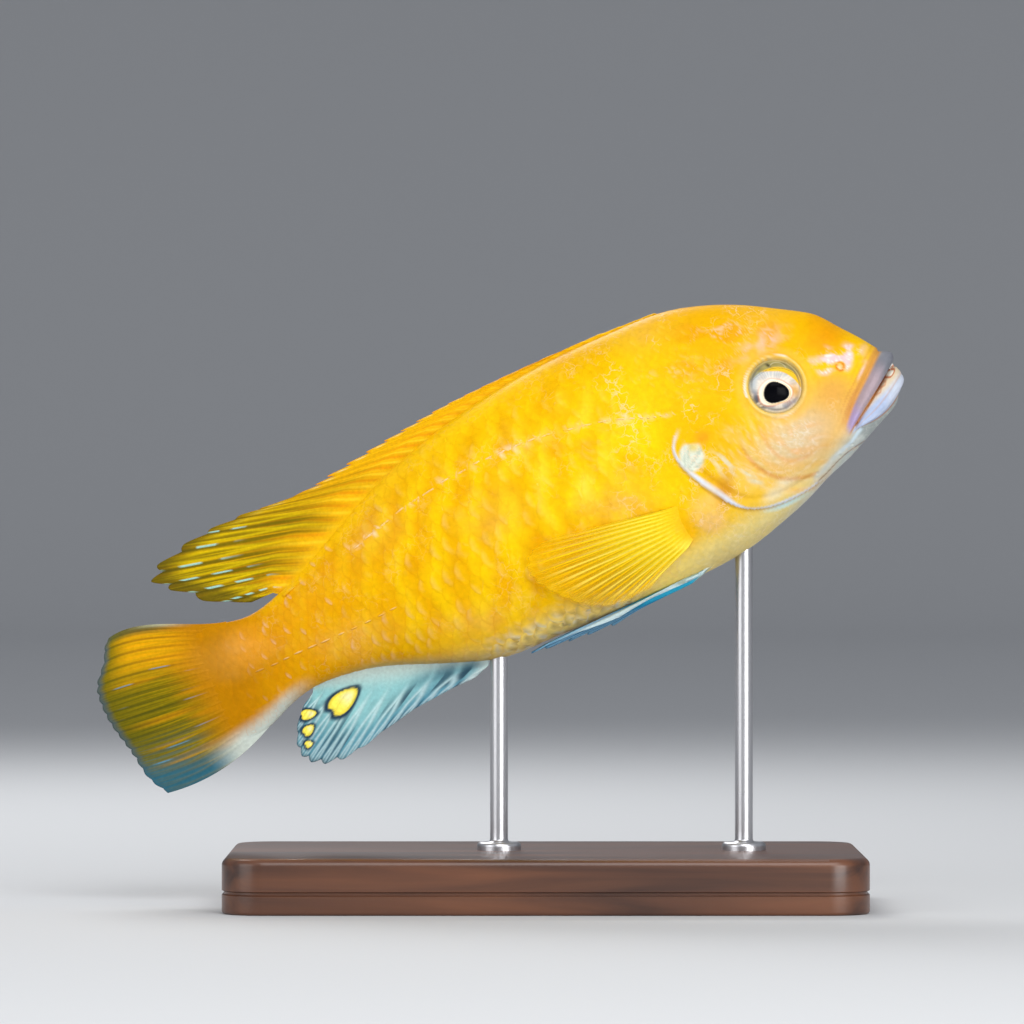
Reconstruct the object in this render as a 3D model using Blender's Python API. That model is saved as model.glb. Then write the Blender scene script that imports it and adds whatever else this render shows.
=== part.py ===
"""A life-size zebra mbuna of the orange form, swimming nose up, held by two rods over a flat base.

The fish is worked out in millimetres in its own frame: a runs back from the snout, y to the fish's
left and h up from the body's axis. place() pitches that frame nose up, sets it over the stand and
gives metres, with +X ahead of the fish, +Z up and the origin under the middle of the base.
"""

import math

import bmesh
import bpy
import numpy as np
from mathutils import Matrix, Vector

MM = 0.001
GAP = 0.3
PITCH = math.radians(24.0)
SNOUT_X = 51.9
SNOUT_Z = 77.0
SWAY = 4.0
SWAY_FROM = 62.0
TOTAL_LENGTH = 126.0

# Contours of the body: stations a from the snout, and the height or half-width there
SNOUT_A = 0.7
TAIL_BASE = 105.0
BACK = (
    (0.7, 1.9), (0.9, 3.1), (1.6, 4.5), (2.5, 5.8), (4.0, 7.9), (6.0, 10.4), (8.0, 12.9),
    (10.0, 14.4), (13.0, 16.2), (17.0, 18.5), (22.0, 20.7), (28.0, 22.3), (36.0, 22.7),
    (46.0, 22.6), (56.0, 21.7), (66.0, 19.7), (76.0, 16.6), (86.0, 12.2), (93.0, 8.85),
    (98.0, 7.0), (101.5, 6.55), (105.0, 7.4),
)
BELLY = (
    (0.7, 1.9), (0.85, 0.3), (1.5, -2.0), (2.6, -3.5), (4.3, -4.45), (7.0, -5.65), (9.5, -6.8),
    (12.0, -7.9), (16.0, -9.3), (20.0, -11.0), (25.0, -12.6), (30.0, -13.9), (36.0, -14.6),
    (44.0, -14.7), (54.0, -14.6), (63.0, -14.3), (70.0, -13.9), (75.0, -12.3), (80.0, -10.4),
    (86.0, -8.1), (92.0, -6.9), (96.5, -6.75), (101.0, -7.9), (105.0, -9.6),
)
HALF_WIDTH = (
    (0.7, 0.0), (0.85, 1.9), (1.5, 3.4), (3.0, 4.7), (5.5, 5.7), (9.0, 6.5), (13.0, 7.2),
    (18.0, 8.0), (24.0, 8.8), (30.0, 9.25), (38.0, 9.4), (48.0, 9.25), (58.0, 8.7),
    (68.0, 7.75), (78.0, 6.4), (88.0, 4.8), (95.0, 3.6), (100.0, 2.4), (105.0, 0.9),
)
WIDEST_AT = (
    (0.7, 1.9), (3.0, 0.4), (6.0, -1.6), (9.5, -3.8), (12.0, -3.7), (16.0, -1.4), (22.0, 0.8),
    (32.0, 2.4), (46.0, 3.0), (60.0, 2.8), (76.0, 1.8), (90.0, 0.9), (105.0, -1.1),
)
UPPER_ROUNDING = 1.95
LOWER_ROUNDING = 2.2
RINGS_TO_GILLS = 30
RINGS_BEHIND = 21
SIDES = 40
GILLS_A = 34.0

# Mouth: the gape falls back from the slit at the snout to the corner
CORNER = (9.6, -3.95)
GAPE_FALL = (1.9 - CORNER[1]) / (CORNER[0] - SNOUT_A)
MOUTH_OPEN = 0.8
LIP_HEIGHT = 0.75
# Lips: at each station the upper lip's upper edge and the lower lip's lower edge, off the gape
LIP_EDGES = (
    (0.7, 2.55, 2.8), (3.0, 2.45, 2.95), (5.0, 2.2, 2.6), (7.0, 1.98, 1.8), (9.0, 1.6, 0.75),
    (10.0, 1.3, 0.4), (11.4, 0.9, 0.4),
)
TEETH = 7
TOOTH = 0.45
TOOTH_ROOT = 0.5
TEETH_WIDE = 2.7

EYE_A, EYE_H = 17.95, 5.9
EYE_RADIUS = 4.3
EYE_DEPTH = 2.6
EYE_STANDS_OUT = 1.3
LID_REACH = 4.5
LID = 0.36
NOSTRIL_A, NOSTRIL_H = 8.2, 4.7
NOSTRIL_RADIUS = 0.45

# Gill cover: its front edge along the cheek and its free rear edge, from the top to the throat
COVER_FRONT = (
    (29.5, 7.4), (27.0, 5.2), (26.1, 2.0), (25.6, -1.2), (24.4, -4.2), (22.2, -6.7), (19.0, -8.0),
    (16.2, -8.3),
)
COVER_REAR = (
    (32.2, 7.0), (34.7, 4.6), (35.3, 1.9), (34.2, -1.4), (32.2, -4.9), (29.3, -8.2), (24.0, -9.8),
    (16.8, -9.2),
)
COVER_STANDS_OUT = 0.35
COVER_THICK = 1.3
COVER_ROWS, COVER_COLUMNS = 13, 6
GILL_OPENING = ((29.6, 27.0), (33.0, 7.0), (33.3, 2.0), (32.6, -2.0), (30.6, -5.6), (27.6, -8.2),
                (23.0, -9.1), (15.4, -8.9), (13.4, -14.0))
STEM_FROM = 97.6

# Fins. On the back: root station, then the tip's station and height
MEMBRANE = 0.5
SPINY_FIN = (
    (28.0, 33.0, 22.75), (34.0, 42.0, 23.05), (40.0, 50.0, 23.2), (46.0, 57.2, 23.1),
    (52.0, 63.6, 22.8), (58.0, 70.0, 22.1), (64.0, 77.0, 21.2), (70.0, 84.2, 20.1),
    (73.8, 88.6, 19.9),
)
SOFT_FIN = (
    (74.6, 91.0, 20.0), (77.5, 95.5, 20.4), (80.5, 101.0, 20.4), (83.5, 106.5, 19.7),
    (86.3, 111.4, 18.1), (88.9, 111.4, 15.9), (91.2, 108.6, 13.5), (93.3, 105.2, 10.6),
    (95.3, 99.8, 8.2),
)
# Under the tail and at its end: share of the root, the root and then the tip in side view
ANAL_FIN = (
    (0.0, 71.2, -14.0, 74.6, -15.0), (0.1, 75.2, -12.7, 81.2, -15.3),
    (0.2, 78.4, -11.4, 87.5, -16.2), (0.35, 82.4, -9.75, 95.0, -17.9),
    (0.5, 85.8, -8.5, 99.6, -17.6), (0.65, 88.9, -7.8, 101.9, -15.9),
    (0.8, 91.8, -7.3, 102.2, -13.3), (0.9, 94.0, -7.1, 101.0, -10.8),
    (1.0, 96.4, -7.1, 99.0, -8.6),
)
TAIL_FIN = (
    (0.0, 105.3, 7.4, 121.0, 11.9), (0.07, 105.3, 6.2, 122.2, 10.8), (0.15, 105.3, 4.85, 123.1, 9.1),
    (0.25, 105.3, 3.1, 125.1, 6.8), (0.38, 105.3, 0.9, 126.0, 4.0), (0.5, 105.3, -1.2, 126.0, 1.1),
    (0.65, 105.3, -3.7, 125.3, -2.6), (0.8, 105.3, -6.3, 124.6, -6.2), (0.9, 105.3, -8.0, 124.0, -9.2),
    (1.0, 105.3, -9.6, 122.3, -12.2),
)
# Paired fins: ends of the root, then share of the root and the tip. A pectoral fin is given by
# station and height and lifts off the flank, a pelvic by station and y and hangs from the belly
PECTORAL_ROOT = ((37.0, -4.2), (37.3, -9.3))
PECTORAL_TIPS = (
    (0.0, 56.0, -0.8), (0.15, 59.3, -1.2), (0.3, 61.0, -2.9), (0.45, 60.8, -5.4),
    (0.6, 58.5, -8.3), (0.75, 55.6, -10.8), (0.9, 51.0, -12.2), (1.0, 46.0, -12.0),
)
PECTORAL_LIFT = 1.6
PELVIC_ROOT = ((36.8, 2.9), (38.8, 1.1))
PELVIC_TIPS = (
    (0.0, 52.0, 3.3), (0.2, 65.5, 3.1), (0.4, 63.0, 2.6), (0.6, 60.0, 2.1), (0.8, 57.0, 1.6),
    (1.0, 53.0, 1.1),
)
PELVIC_HANG = 1.0

STAND_BASE = (92.0, 54.0, 8.0)
BASE_CORNER = 6.0
BASE_CHAMFER = 0.8
ROD_RADIUS = 1.3
ROD_FOOT_RADIUS = 3.2
ROD_FOOT = 1.2
ROD_STATIONS = {"front": 31.0, "rear": 69.8}


def spline(table, at, power=0.5):
    """Natural cubic spline through (station, value) pairs. It runs over the square root of the
    distance from the first, so that the blunt snout is as smooth as the long flank; a power of 1
    spaces the stations as they are."""
    stations, values = np.array(table, float).T
    knots = (stations - stations[0]) ** power
    step = np.diff(knots)
    rise = np.diff(values) / step
    count = len(knots)
    left = np.eye(count)
    right = np.zeros(count)
    for k in range(1, count - 1):
        left[k, k - 1:k + 2] = step[k - 1], 2 * (step[k - 1] + step[k]), step[k]
        right[k] = 6 * (rise[k] - rise[k - 1])
    bend = np.linalg.solve(left, right)
    q = np.clip(np.asarray(at, float) - stations[0], 0, None) ** power
    k = np.clip(np.searchsorted(knots, q) - 1, 0, count - 2)
    t = q - knots[k]
    slope = rise[k] - step[k] * (2 * bend[k] + bend[k + 1]) / 6
    return values[k] + t * (slope + t * (bend[k] / 2 + t * (bend[k + 1] - bend[k]) / (6 * step[k])))


def along(points, at):
    """Points of a smooth curve through the given ones, at shares of its way from 0 to 1."""
    points = np.array(points, float)
    share = np.linspace(0, 1, len(points))
    return np.stack([spline(np.c_[share, column], at, 1) for column in points.T], axis=-1)


def ramp(value, low, high):
    """0 below low, 1 above high and an S between."""
    t = np.clip((value - low) / (high - low), 0, 1)
    return t * t * (3 - 2 * t)


def ridge(offset, half):
    """A smooth bump, 1 at no offset and 0 from half away."""
    return np.clip(1 - (offset / half) ** 2, 0, None) ** 2


def section(a, angle):
    """Points of the plain body: two half superellipses at each station. Angle 0 is the back and
    180 degrees the belly, and the points go round on the left, y above 0, first."""
    back, belly, half, middle = (spline(t, a) for t in (BACK, BELLY, HALF_WIDTH, WIDEST_AT))
    cosine, sine = np.cos(angle), np.sin(angle)
    power = np.where(cosine >= 0, 2 / UPPER_ROUNDING, 2 / LOWER_ROUNDING)
    reach = np.where(cosine >= 0, back - middle, middle - belly)
    h = middle + reach * np.sign(cosine) * np.abs(cosine) ** power
    y = np.clip(half, 0, None) * np.sign(sine) * np.abs(sine) ** power
    return np.stack(np.broadcast_arrays(a, y, h), axis=-1)


def flank(a, h):
    """Half-width of the plain body at a station and height."""
    back, belly, half, middle = (spline(t, a) for t in (BACK, BELLY, HALF_WIDTH, WIDEST_AT))
    above = h >= middle
    power = np.where(above, UPPER_ROUNDING, LOWER_ROUNDING)
    share = np.abs(h - middle) / np.where(above, back - middle, middle - belly)
    return half * np.clip(1 - np.clip(share, 0, 1) ** power, 0, None) ** (1 / power)


def flank_normal(a, h):
    """Outward normal of the left flank at a station and height, as (a, y, h) parts."""
    tiny = 0.05
    fore = (flank(a + tiny, h) - flank(a - tiny, h)) / (2 * tiny)
    rise = (flank(a, h + tiny) - flank(a, h - tiny)) / (2 * tiny)
    normal = np.stack(np.broadcast_arrays(-fore, 1.0, -rise), axis=-1)
    return normal / np.linalg.norm(normal, axis=-1, keepdims=True)


def under(a, y):
    """Height of the belly's surface at a station and a distance from the midline."""
    belly, half, middle = (spline(t, a) for t in (BELLY, HALF_WIDTH, WIDEST_AT))
    share = np.clip(np.abs(y) / half, 0, 1)
    return middle - (middle - belly) * (1 - share ** LOWER_ROUNDING) ** (1 / LOWER_ROUNDING)


def lips(a, off):
    """Rise of the upper and the lower lip, 0 to 1, at a station and a distance off the gape, and
    the upper lip's edge there. Each swells between the gape and its own edge, which close in
    towards the corner."""
    table = np.array(LIP_EDGES)
    at = np.clip(a, SNOUT_A, table[-1, 0])
    top, low = spline(table[:, [0, 1]], at, 1), spline(table[:, [0, 2]], at, 1)
    share = -off / low
    return ridge(2 * off / top - 1, 1), ridge((share - 0.62) / np.where(share < 0.62, 0.66, 0.42), 1), top


def relief(a, h):
    """How far the skin stands off the plain body: lips, cheek, the groove before the gills and the
    lobe that carries the pectoral fin."""
    fall = math.atan(GAPE_FALL)
    off_gape = (h - 1.9 + GAPE_FALL * (a - SNOUT_A)) * math.cos(fall)
    beyond = a - CORNER[0]
    upper, lower, top = lips(a, off_gape)
    upper = upper * (1 - ramp(beyond, 0.2, 1.8))
    lower = 1.1 * lower * (1 - ramp(beyond, -0.8, 0.4))
    behind = ridge(off_gape - top - 0.5, 0.7) * (1 - ramp(a, 9.0, 12.0))
    cheek = 0.35 * ridge(np.hypot(a - 19.5, (h + 3.0) * 1.1), 6.0)
    round_eye = 0.3 * ridge(np.hypot(a - EYE_A, h - EYE_H) - LID_REACH, 1.6)
    front = along(COVER_FRONT, np.linspace(0, 1, 29))
    away = np.hypot(np.subtract.outer(a, front[:, 0]), np.subtract.outer(h, front[:, 1])).min(-1)
    lobe = 0.45 * ridge(np.hypot((a - 34.7) / 2.9, (h + 7.0) / 3.6), 1.0)
    return (LIP_HEIGHT * (upper + lower) - 0.25 * behind + cheek + round_eye + lobe
            - 0.2 * ridge(away, 1.3))


def place(points):
    """The fish's frame in millimetres to the model's frame in metres, with the tail's slight sway."""
    a, y, h = np.moveaxis(np.asarray(points, float), -1, 0)
    sway = SWAY * (np.clip(a - SWAY_FROM, 0, None) / (TOTAL_LENGTH - SWAY_FROM)) ** 2
    x = SNOUT_X - a * math.cos(PITCH) - h * math.sin(PITCH)
    z = SNOUT_Z - a * math.sin(PITCH) + h * math.cos(PITCH)
    return np.stack([x, y + sway, z], axis=-1) * MM


def finish(name, vertices, faces, material, smooth=True):
    """A named object from points already placed, with its faces turned outwards."""
    mesh = bpy.data.meshes.new(name)
    mesh.from_pydata([tuple(v) for v in vertices], [], faces)
    work = bmesh.new()
    work.from_mesh(mesh)
    bmesh.ops.remove_doubles(work, verts=work.verts, dist=1e-7)
    bmesh.ops.recalc_face_normals(work, faces=work.faces)
    work.to_mesh(mesh)
    work.free()
    if smooth:
        mesh.shade_smooth()
        mesh.set_sharp_from_angle(angle=math.radians(35))
    obj = bpy.data.objects.new(name, mesh)
    bpy.context.scene.collection.objects.link(obj)
    if material:
        mesh.materials.append(material)
    return obj


def paint(name, colour, roughness, metallic=0.0):
    """A Principled material."""
    material = bpy.data.materials.new(name)
    material.use_nodes = True
    shader = material.node_tree.nodes["Principled BSDF"]
    shader.inputs["Base Color"].default_value = (*colour, 1.0)
    shader.inputs["Roughness"].default_value = roughness
    shader.inputs["Metallic"].default_value = metallic
    return material


def helper(obj):
    """Marks an object as a cutter, which is no part of the model."""
    obj.hide_render = True
    obj.display_type = "WIRE"
    return obj


def loft(name, rings, material=None):
    """A closed body from rings of points, all with as many points, and flat or pointed ends."""
    count = rings.shape[1]
    faces = [
        (k * count + j, k * count + (j + 1) % count, (k + 1) * count + (j + 1) % count,
         (k + 1) * count + j)
        for k in range(len(rings) - 1) for j in range(count)
    ]
    last = (len(rings) - 1) * count
    faces.append(tuple(range(count)))
    faces.append(tuple(range(last, last + count)))
    return finish(name, place(rings).reshape(-1, 3), faces, material)


def slab(name, middle, normal, thickness, material):
    """A thin closed vane: both faces stand half the thickness off a grid of middle points, split
    into triangles alike, with a wall round the rim."""
    rows, columns = middle.shape[:2]
    half = normal * thickness[..., None] / 2
    points = np.concatenate([(middle + half).reshape(-1, 3), (middle - half).reshape(-1, 3)])
    faces = []
    other = rows * columns
    for r in range(rows - 1):
        for c in range(columns - 1):
            p, q = r * columns + c, r * columns + c + 1
            s, t = p + columns, q + columns
            faces += [(p, q, t), (p, t, s), (other + p, other + t, other + q),
                      (other + p, other + s, other + t)]
    rim = [c for c in range(columns)]
    rim += [r * columns + columns - 1 for r in range(1, rows)]
    rim += [(rows - 1) * columns + c for c in range(columns - 2, -1, -1)]
    rim += [r * columns for r in range(rows - 2, 0, -1)]
    for p, q in zip(rim, rim[1:] + rim[:1]):
        faces += [(p, other + p, other + q), (p, other + q, q)]
    return finish(name, place(points), faces, material)


def prism(name, outline, half=20.0):
    """A cutter: an outline in the fish's side view, carried across from side to side."""
    outline = np.array(outline, float)
    count = len(outline)
    sides = [np.c_[outline[:, 0], np.full(count, y), outline[:, 1]] for y in (-half, half)]
    faces = [(j, (j + 1) % count, count + (j + 1) % count, count + j) for j in range(count)]
    faces += [tuple(range(count)), tuple(range(count, 2 * count))]
    return helper(finish(name, place(np.concatenate(sides)), faces, None, smooth=False))


def sheared(outline, away):
    """An open outline that runs downwards, moved along its own normals, back for a positive away."""
    outline = np.array(outline, float)
    run = np.gradient(outline, axis=0)
    normal = np.c_[-run[:, 1], run[:, 0]] / np.linalg.norm(run, axis=1)[:, None]
    return [tuple(p) for p in outline + away * normal]


def boolean(target, operation, cutters):
    """Applies one exact Boolean with a collection of closed cutters, then removes them."""
    group = bpy.data.collections.new("cutters")
    for cutter in cutters:
        group.objects.link(cutter)
    modifier = target.modifiers.new(operation.lower(), "BOOLEAN")
    modifier.operation = operation
    modifier.operand_type = "COLLECTION"
    modifier.collection = group
    modifier.solver = "EXACT"
    with bpy.context.temp_override(object=target, active_object=target):
        bpy.ops.object.modifier_apply(modifier=modifier.name)
    for cutter in cutters:
        bpy.data.objects.remove(cutter)
    bpy.data.collections.remove(group)
    keep_largest(target)


def keep_largest(obj):
    """Drops every loose scrap that a cut leaves and keeps the closed surface with most faces."""
    work = bmesh.new()
    work.from_mesh(obj.data)
    left, pieces = set(work.verts), []
    while left:
        front = [left.pop()]
        piece = set(front)
        while front:
            for edge in front.pop().link_edges:
                for vertex in edge.verts:
                    if vertex in left:
                        left.discard(vertex)
                        piece.add(vertex)
                        front.append(vertex)
        pieces.append(piece)
    pieces.sort(key=len)
    bmesh.ops.delete(work, geom=[v for piece in pieces[:-1] for v in piece], context="VERTS")
    work.to_mesh(obj.data)
    work.free()


def body_rings(grow=0.0, first=SNOUT_A, last=TAIL_BASE):
    """Rings of the whole body with its relief, grown outwards by grow."""
    near = np.linspace(0, math.sqrt(GILLS_A - SNOUT_A), RINGS_TO_GILLS + 1) ** 2 + SNOUT_A
    far = np.linspace(GILLS_A, TAIL_BASE, RINGS_BEHIND + 1)[1:]
    stations = np.concatenate([near, far])
    stations = stations[(stations >= first) & (stations <= last)]
    stations[0] += 0.02 if first <= SNOUT_A else 0
    a = stations[:, None]
    angle = np.linspace(0, 2 * math.pi, SIDES, endpoint=False)[None]
    rings = section(a, angle)
    run = np.gradient(rings, stations, axis=0)
    turn = np.roll(rings, -1, axis=1) - np.roll(rings, 1, axis=1)
    normal = np.cross(run, turn)
    normal /= np.linalg.norm(normal, axis=-1, keepdims=True)
    outward = np.stack([np.zeros_like(rings[..., 0]), rings[..., 1],
                        rings[..., 2] - spline(WIDEST_AT, a)], axis=-1)
    normal *= np.sign((normal * outward).sum(-1, keepdims=True))
    rise = relief(rings[..., 0], rings[..., 2]) + grow
    rings = rings + normal * rise[..., None]
    rings[..., 0] = np.minimum(rings[..., 0], TAIL_BASE + grow)
    return rings


def cover_outline(grow):
    """Grid of stations and heights over the gill cover, its four edges moved out by grow."""
    share = np.linspace(0, 1, COVER_ROWS)
    across = np.linspace(0, 1, COVER_COLUMNS)[None, :, None]
    grid = along(COVER_FRONT, share)[:, None] * (1 - across) + along(COVER_REAR, share)[:, None] * across
    for edge, inner in ((grid[:, 0], grid[:, 1]), (grid[:, -1], grid[:, -2]), (grid[0], grid[1]),
                        (grid[-1], grid[-2])):
        edge += grow * (edge - inner) / np.linalg.norm(edge - inner, axis=-1, keepdims=True)
    return grid


def gill_cover(name, side, material=None, grow=0.0):
    """A curved plate on the flank between its front and rear edges, or its larger recess."""
    outline = cover_outline(grow)
    a, h = outline[..., 0], outline[..., 1]
    normal = flank_normal(a, h)
    surface = np.stack([a, flank(a, h), h], axis=-1)
    top = COVER_STANDS_OUT if not grow else 3.0
    low = relief(a, h) - COVER_THICK - (GAP if grow else 0.0)
    high = np.broadcast_to(top + relief(a, h) * 0.5, low.shape)
    middle = surface + normal * ((low + high) / 2)[..., None]
    flip = np.array([1.0, side, 1.0])
    obj = slab(name, middle * flip, normal * flip, high - low, material)
    return helper(obj) if grow else obj


def eye_frame(side):
    """Centre and outward axis of an eye, set into the flank, in the fish's frame."""
    normal = flank_normal(EYE_A, EYE_H)
    centre = np.array([EYE_A, float(flank(EYE_A, EYE_H)), EYE_H])
    centre += normal * (EYE_STANDS_OUT - EYE_DEPTH)
    flip = np.array([1.0, side, 1.0])
    return centre * flip, normal * flip


def frame_of(centre, axis):
    """Matrix in the model's frame, in metres, that stands +Z on an axis of the fish's frame."""
    foot, tip = place(centre), place(centre + axis)
    turn = Vector(tip - foot).to_track_quat("Z", "Y").to_matrix().to_4x4()
    return Matrix.Translation(Vector(foot)) @ turn


def eyeball(name, side, material=None, grow=0.0):
    """An eye as a flattened ball, or the larger ball that its socket is cut with."""
    centre, axis = eye_frame(side)
    mesh = bpy.data.meshes.new(name)
    work = bmesh.new()
    bmesh.ops.create_uvsphere(work, u_segments=18, v_segments=10, radius=1.0)
    radius, depth = (EYE_RADIUS + grow) * MM, (EYE_DEPTH + grow) * MM
    bmesh.ops.transform(work, verts=work.verts, matrix=Matrix.Diagonal((radius, radius, depth, 1)))
    bmesh.ops.transform(work, verts=work.verts, matrix=frame_of(centre, axis))
    bmesh.ops.recalc_face_normals(work, faces=work.faces)
    work.to_mesh(mesh)
    work.free()
    mesh.shade_smooth()
    obj = bpy.data.objects.new(name, mesh)
    bpy.context.scene.collection.objects.link(obj)
    if material:
        mesh.materials.append(material)
    return helper(obj) if grow else obj


def lid(side):
    """The fold of skin round an eye: a ring that follows the flank, to be fused to the head."""
    count, sides = 28, 6
    turn = np.linspace(0, 2 * math.pi, count, endpoint=False)[:, None]
    tube = np.linspace(0, 2 * math.pi, sides, endpoint=False)[None]
    reach = LID_REACH + LID * np.cos(tube)
    a, h = EYE_A + reach * np.cos(turn), EYE_H + reach * np.sin(turn)
    lift = relief(a, h) + LID * np.sin(tube) + 0.1
    points = np.stack([a, flank(a, h), h], axis=-1) + flank_normal(a, h) * lift[..., None]
    points *= np.array([1.0, side, 1.0])
    faces = [
        (k * sides + j, k * sides + (j + 1) % sides,
         ((k + 1) % count) * sides + (j + 1) % sides, ((k + 1) % count) * sides + j)
        for k in range(count) for j in range(sides)
    ]
    return finish("lid", place(points).reshape(-1, 3), faces, None)


def nostril(side):
    """A short blunt cutter for the single nostril of a side."""
    a, h = np.array(NOSTRIL_A), np.array(NOSTRIL_H)
    axis = flank_normal(a, h) * np.array([1.0, side, 1.0])
    foot = np.array([a, side * float(flank(a, h) + relief(a, h)), h]) - axis * 0.6
    mesh = bpy.data.meshes.new("nostril")
    work = bmesh.new()
    bmesh.ops.create_cone(work, cap_ends=True, segments=8, radius1=NOSTRIL_RADIUS * 0.7 * MM,
                          radius2=NOSTRIL_RADIUS * 1.3 * MM, depth=2.0 * MM)
    bmesh.ops.transform(work, verts=work.verts, matrix=frame_of(foot + axis, axis))
    bmesh.ops.recalc_face_normals(work, faces=work.faces)
    work.to_mesh(mesh)
    work.free()
    obj = bpy.data.objects.new("nostril", mesh)
    bpy.context.scene.collection.objects.link(obj)
    return helper(obj)


def gape(a, off=0.0):
    """Height of the mouth's line at a station, moved off it by a distance."""
    return 1.9 - GAPE_FALL * (a - SNOUT_A) + off


def teeth(upward):
    """A row of pegs behind a lip, rooted in its jaw: upward 1 for the lower jaw, -1 for the upper,
    whose teeth stand between those of the lower."""
    pegs = []
    count = TEETH if upward > 0 else TEETH - 1
    for k in range(count):
        y = TEETH_WIDE * (2 * k - count + 1) / (TEETH - 1)
        a = 1.25 + 0.09 * y * y
        off = MOUTH_OPEN / 2 * (1 - (a - SNOUT_A) / 6.0)
        axis = np.array([-0.3, 0.0, upward])
        axis /= np.linalg.norm(axis)
        middle = np.array([a, y, gape(a, -upward * off)]) + axis * (TOOTH - TOOTH_ROOT) / 2
        mesh = bpy.data.meshes.new("tooth")
        work = bmesh.new()
        bmesh.ops.create_cone(work, cap_ends=True, segments=5, radius1=0.27 * MM, radius2=0.12 * MM,
                              depth=(TOOTH + TOOTH_ROOT) * MM)
        bmesh.ops.transform(work, verts=work.verts, matrix=frame_of(middle, axis))
        bmesh.ops.recalc_face_normals(work, faces=work.faces)
        work.to_mesh(mesh)
        work.free()
        peg = bpy.data.objects.new("tooth", mesh)
        bpy.context.scene.collection.objects.link(peg)
        pegs.append(peg)
    return pegs


def body_part(name, zone, material, cutters=(), joined=()):
    """One part of the body: the whole body kept inside its zone, with pieces fused and cut."""
    obj = loft(name, body_rings(), material)
    boolean(obj, "INTERSECT", [prism("zone", zone)])
    if joined:
        boolean(obj, "UNION", list(joined))
    if cutters:
        boolean(obj, "DIFFERENCE", list(cutters))
    return obj


def fish_body(paints):
    """Head, jaws, trunk and tail stem, parted by thin cuts, then gill covers and eyes."""
    half = GAP / 2
    low_lip = [(-4.0, gape(-4.0, -MOUTH_OPEN)), (SNOUT_A, gape(SNOUT_A, -MOUTH_OPEN / 2)),
               (4.5, gape(4.5, -half)), (CORNER[0] + 0.3, gape(CORNER[0] + 0.3, -half))]
    high_lip = [(-4.0, gape(-4.0, MOUTH_OPEN)), (SNOUT_A, gape(SNOUT_A, MOUTH_OPEN / 2)),
                (4.5, gape(4.5, half)), (CORNER[0], gape(CORNER[0], half))]
    lip_back = [(-5.0, 12.5), (2.1, 5.4), (11.3, -3.7), (10.9, -4.9)]
    jaw_back = [(CORNER[0] + 0.3, gape(CORNER[0] + 0.3, -half)), (10.3, -5.1), (8.8, -9.0)]

    body_part("lower_jaw", low_lip + [(10.3 - GAP, -5.1), (8.8 - GAP, -9.0), (-4.0, -9.0)],
              paints["skin"], joined=teeth(1))
    body_part("upper_jaw", high_lip + [(10.9 - GAP, -4.9 + GAP), (11.3 - GAP, -3.7 - half),
                                       (2.1 - half, 5.4 - half), (-5.0 - half, 12.5 - half)],
              paints["skin"], joined=teeth(-1))
    head_front = [(-5.0 + half, 12.5 + half), (2.1 + half, 5.4 + half), (11.3 + half, -3.7),
                  (10.9 + half, -4.9 - half), (10.3 + half, -5.1 - half), (8.8 + half, -9.0 - half),
                  (8.8, -14.0)]
    recesses = [gill_cover("recess", side, grow=GAP) for side in (1, -1)]
    sockets = [eyeball("socket", side, grow=GAP) for side in (1, -1)]
    opening = sheared(GILL_OPENING, -half)
    body_part("head", head_front + opening[::-1] + [(-5.0 + half, 27.0)], paints["skin"],
              recesses + sockets + [nostril(1), nostril(-1)], [lid(1), lid(-1)])
    recesses = [gill_cover("recess", side, grow=GAP) for side in (1, -1)]
    body_part("trunk", sheared(GILL_OPENING, half) + [(STEM_FROM - half, -20.0),
                                                       (STEM_FROM - half, 27.0)],
              paints["skin"], recesses)
    body_part("tail_stem", [(STEM_FROM + half, -20.0), (TAIL_BASE + 4, -20.0),
                            (TAIL_BASE + 4, 20.0), (STEM_FROM + half, 20.0)], paints["skin"])
    for side, word in ((1, "left"), (-1, "right")):
        gill_cover(f"gill_cover_{word}", side, paints["skin"])
        eyeball(f"eye_{word}", side, paints["eye"])


def fin(name, middle, rays, rows, material, notch=0.1, crest=(0.95, 0.6)):
    """A fin with its rays as ridges of the web: middle gives a point of its middle sheet at a
    share u of the way out and v along the root. The web between two rays ends short by notch."""
    columns = 2 * rays - 1
    web = np.arange(columns)[None] % 2
    u = np.linspace(0, 1, rows)[:, None]
    v = np.linspace(0, 1, columns)[None]
    points = middle(u * (1 - notch * web), v)
    normal = np.cross(np.gradient(points, axis=0), np.gradient(points, axis=1))
    normal /= np.linalg.norm(normal, axis=-1, keepdims=True)
    thickness = np.where(web, MEMBRANE, crest[0] + (crest[1] - crest[0]) * u)
    return slab(name, points, normal, thickness, material)


def fan(table, bow=0.0):
    """Middle sheet of a fin on the body's midline, from rows of v, root and tip in side view."""
    table = np.array(table, float)

    def middle(u, v):
        root_a, root_h, tip_a, tip_h = (spline(table[:, [0, k]], v, 1) for k in range(1, 5))
        a = root_a + (tip_a - root_a) * u
        arch = np.where(v < 0.5, 8 * u ** 2 * (1 - u), 5.4 * u * (1 - u))
        h = root_h + (tip_h - root_h) * u + bow * (1 - 2 * v) * arch
        return np.stack([a, np.zeros_like(a), h], axis=-1)

    return middle


def back_fin(table):
    """The dorsal fin's rows of root station and tip, with each root set over the back."""
    roots = [row[0] for row in table]
    share = (np.array(roots) - roots[0]) / (roots[-1] - roots[0])
    feet = spline(BACK, np.array(roots)) + GAP
    return [(s, a, foot, tip_a, tip_h) for s, foot, (a, tip_a, tip_h) in zip(share, feet, table)]


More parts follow.
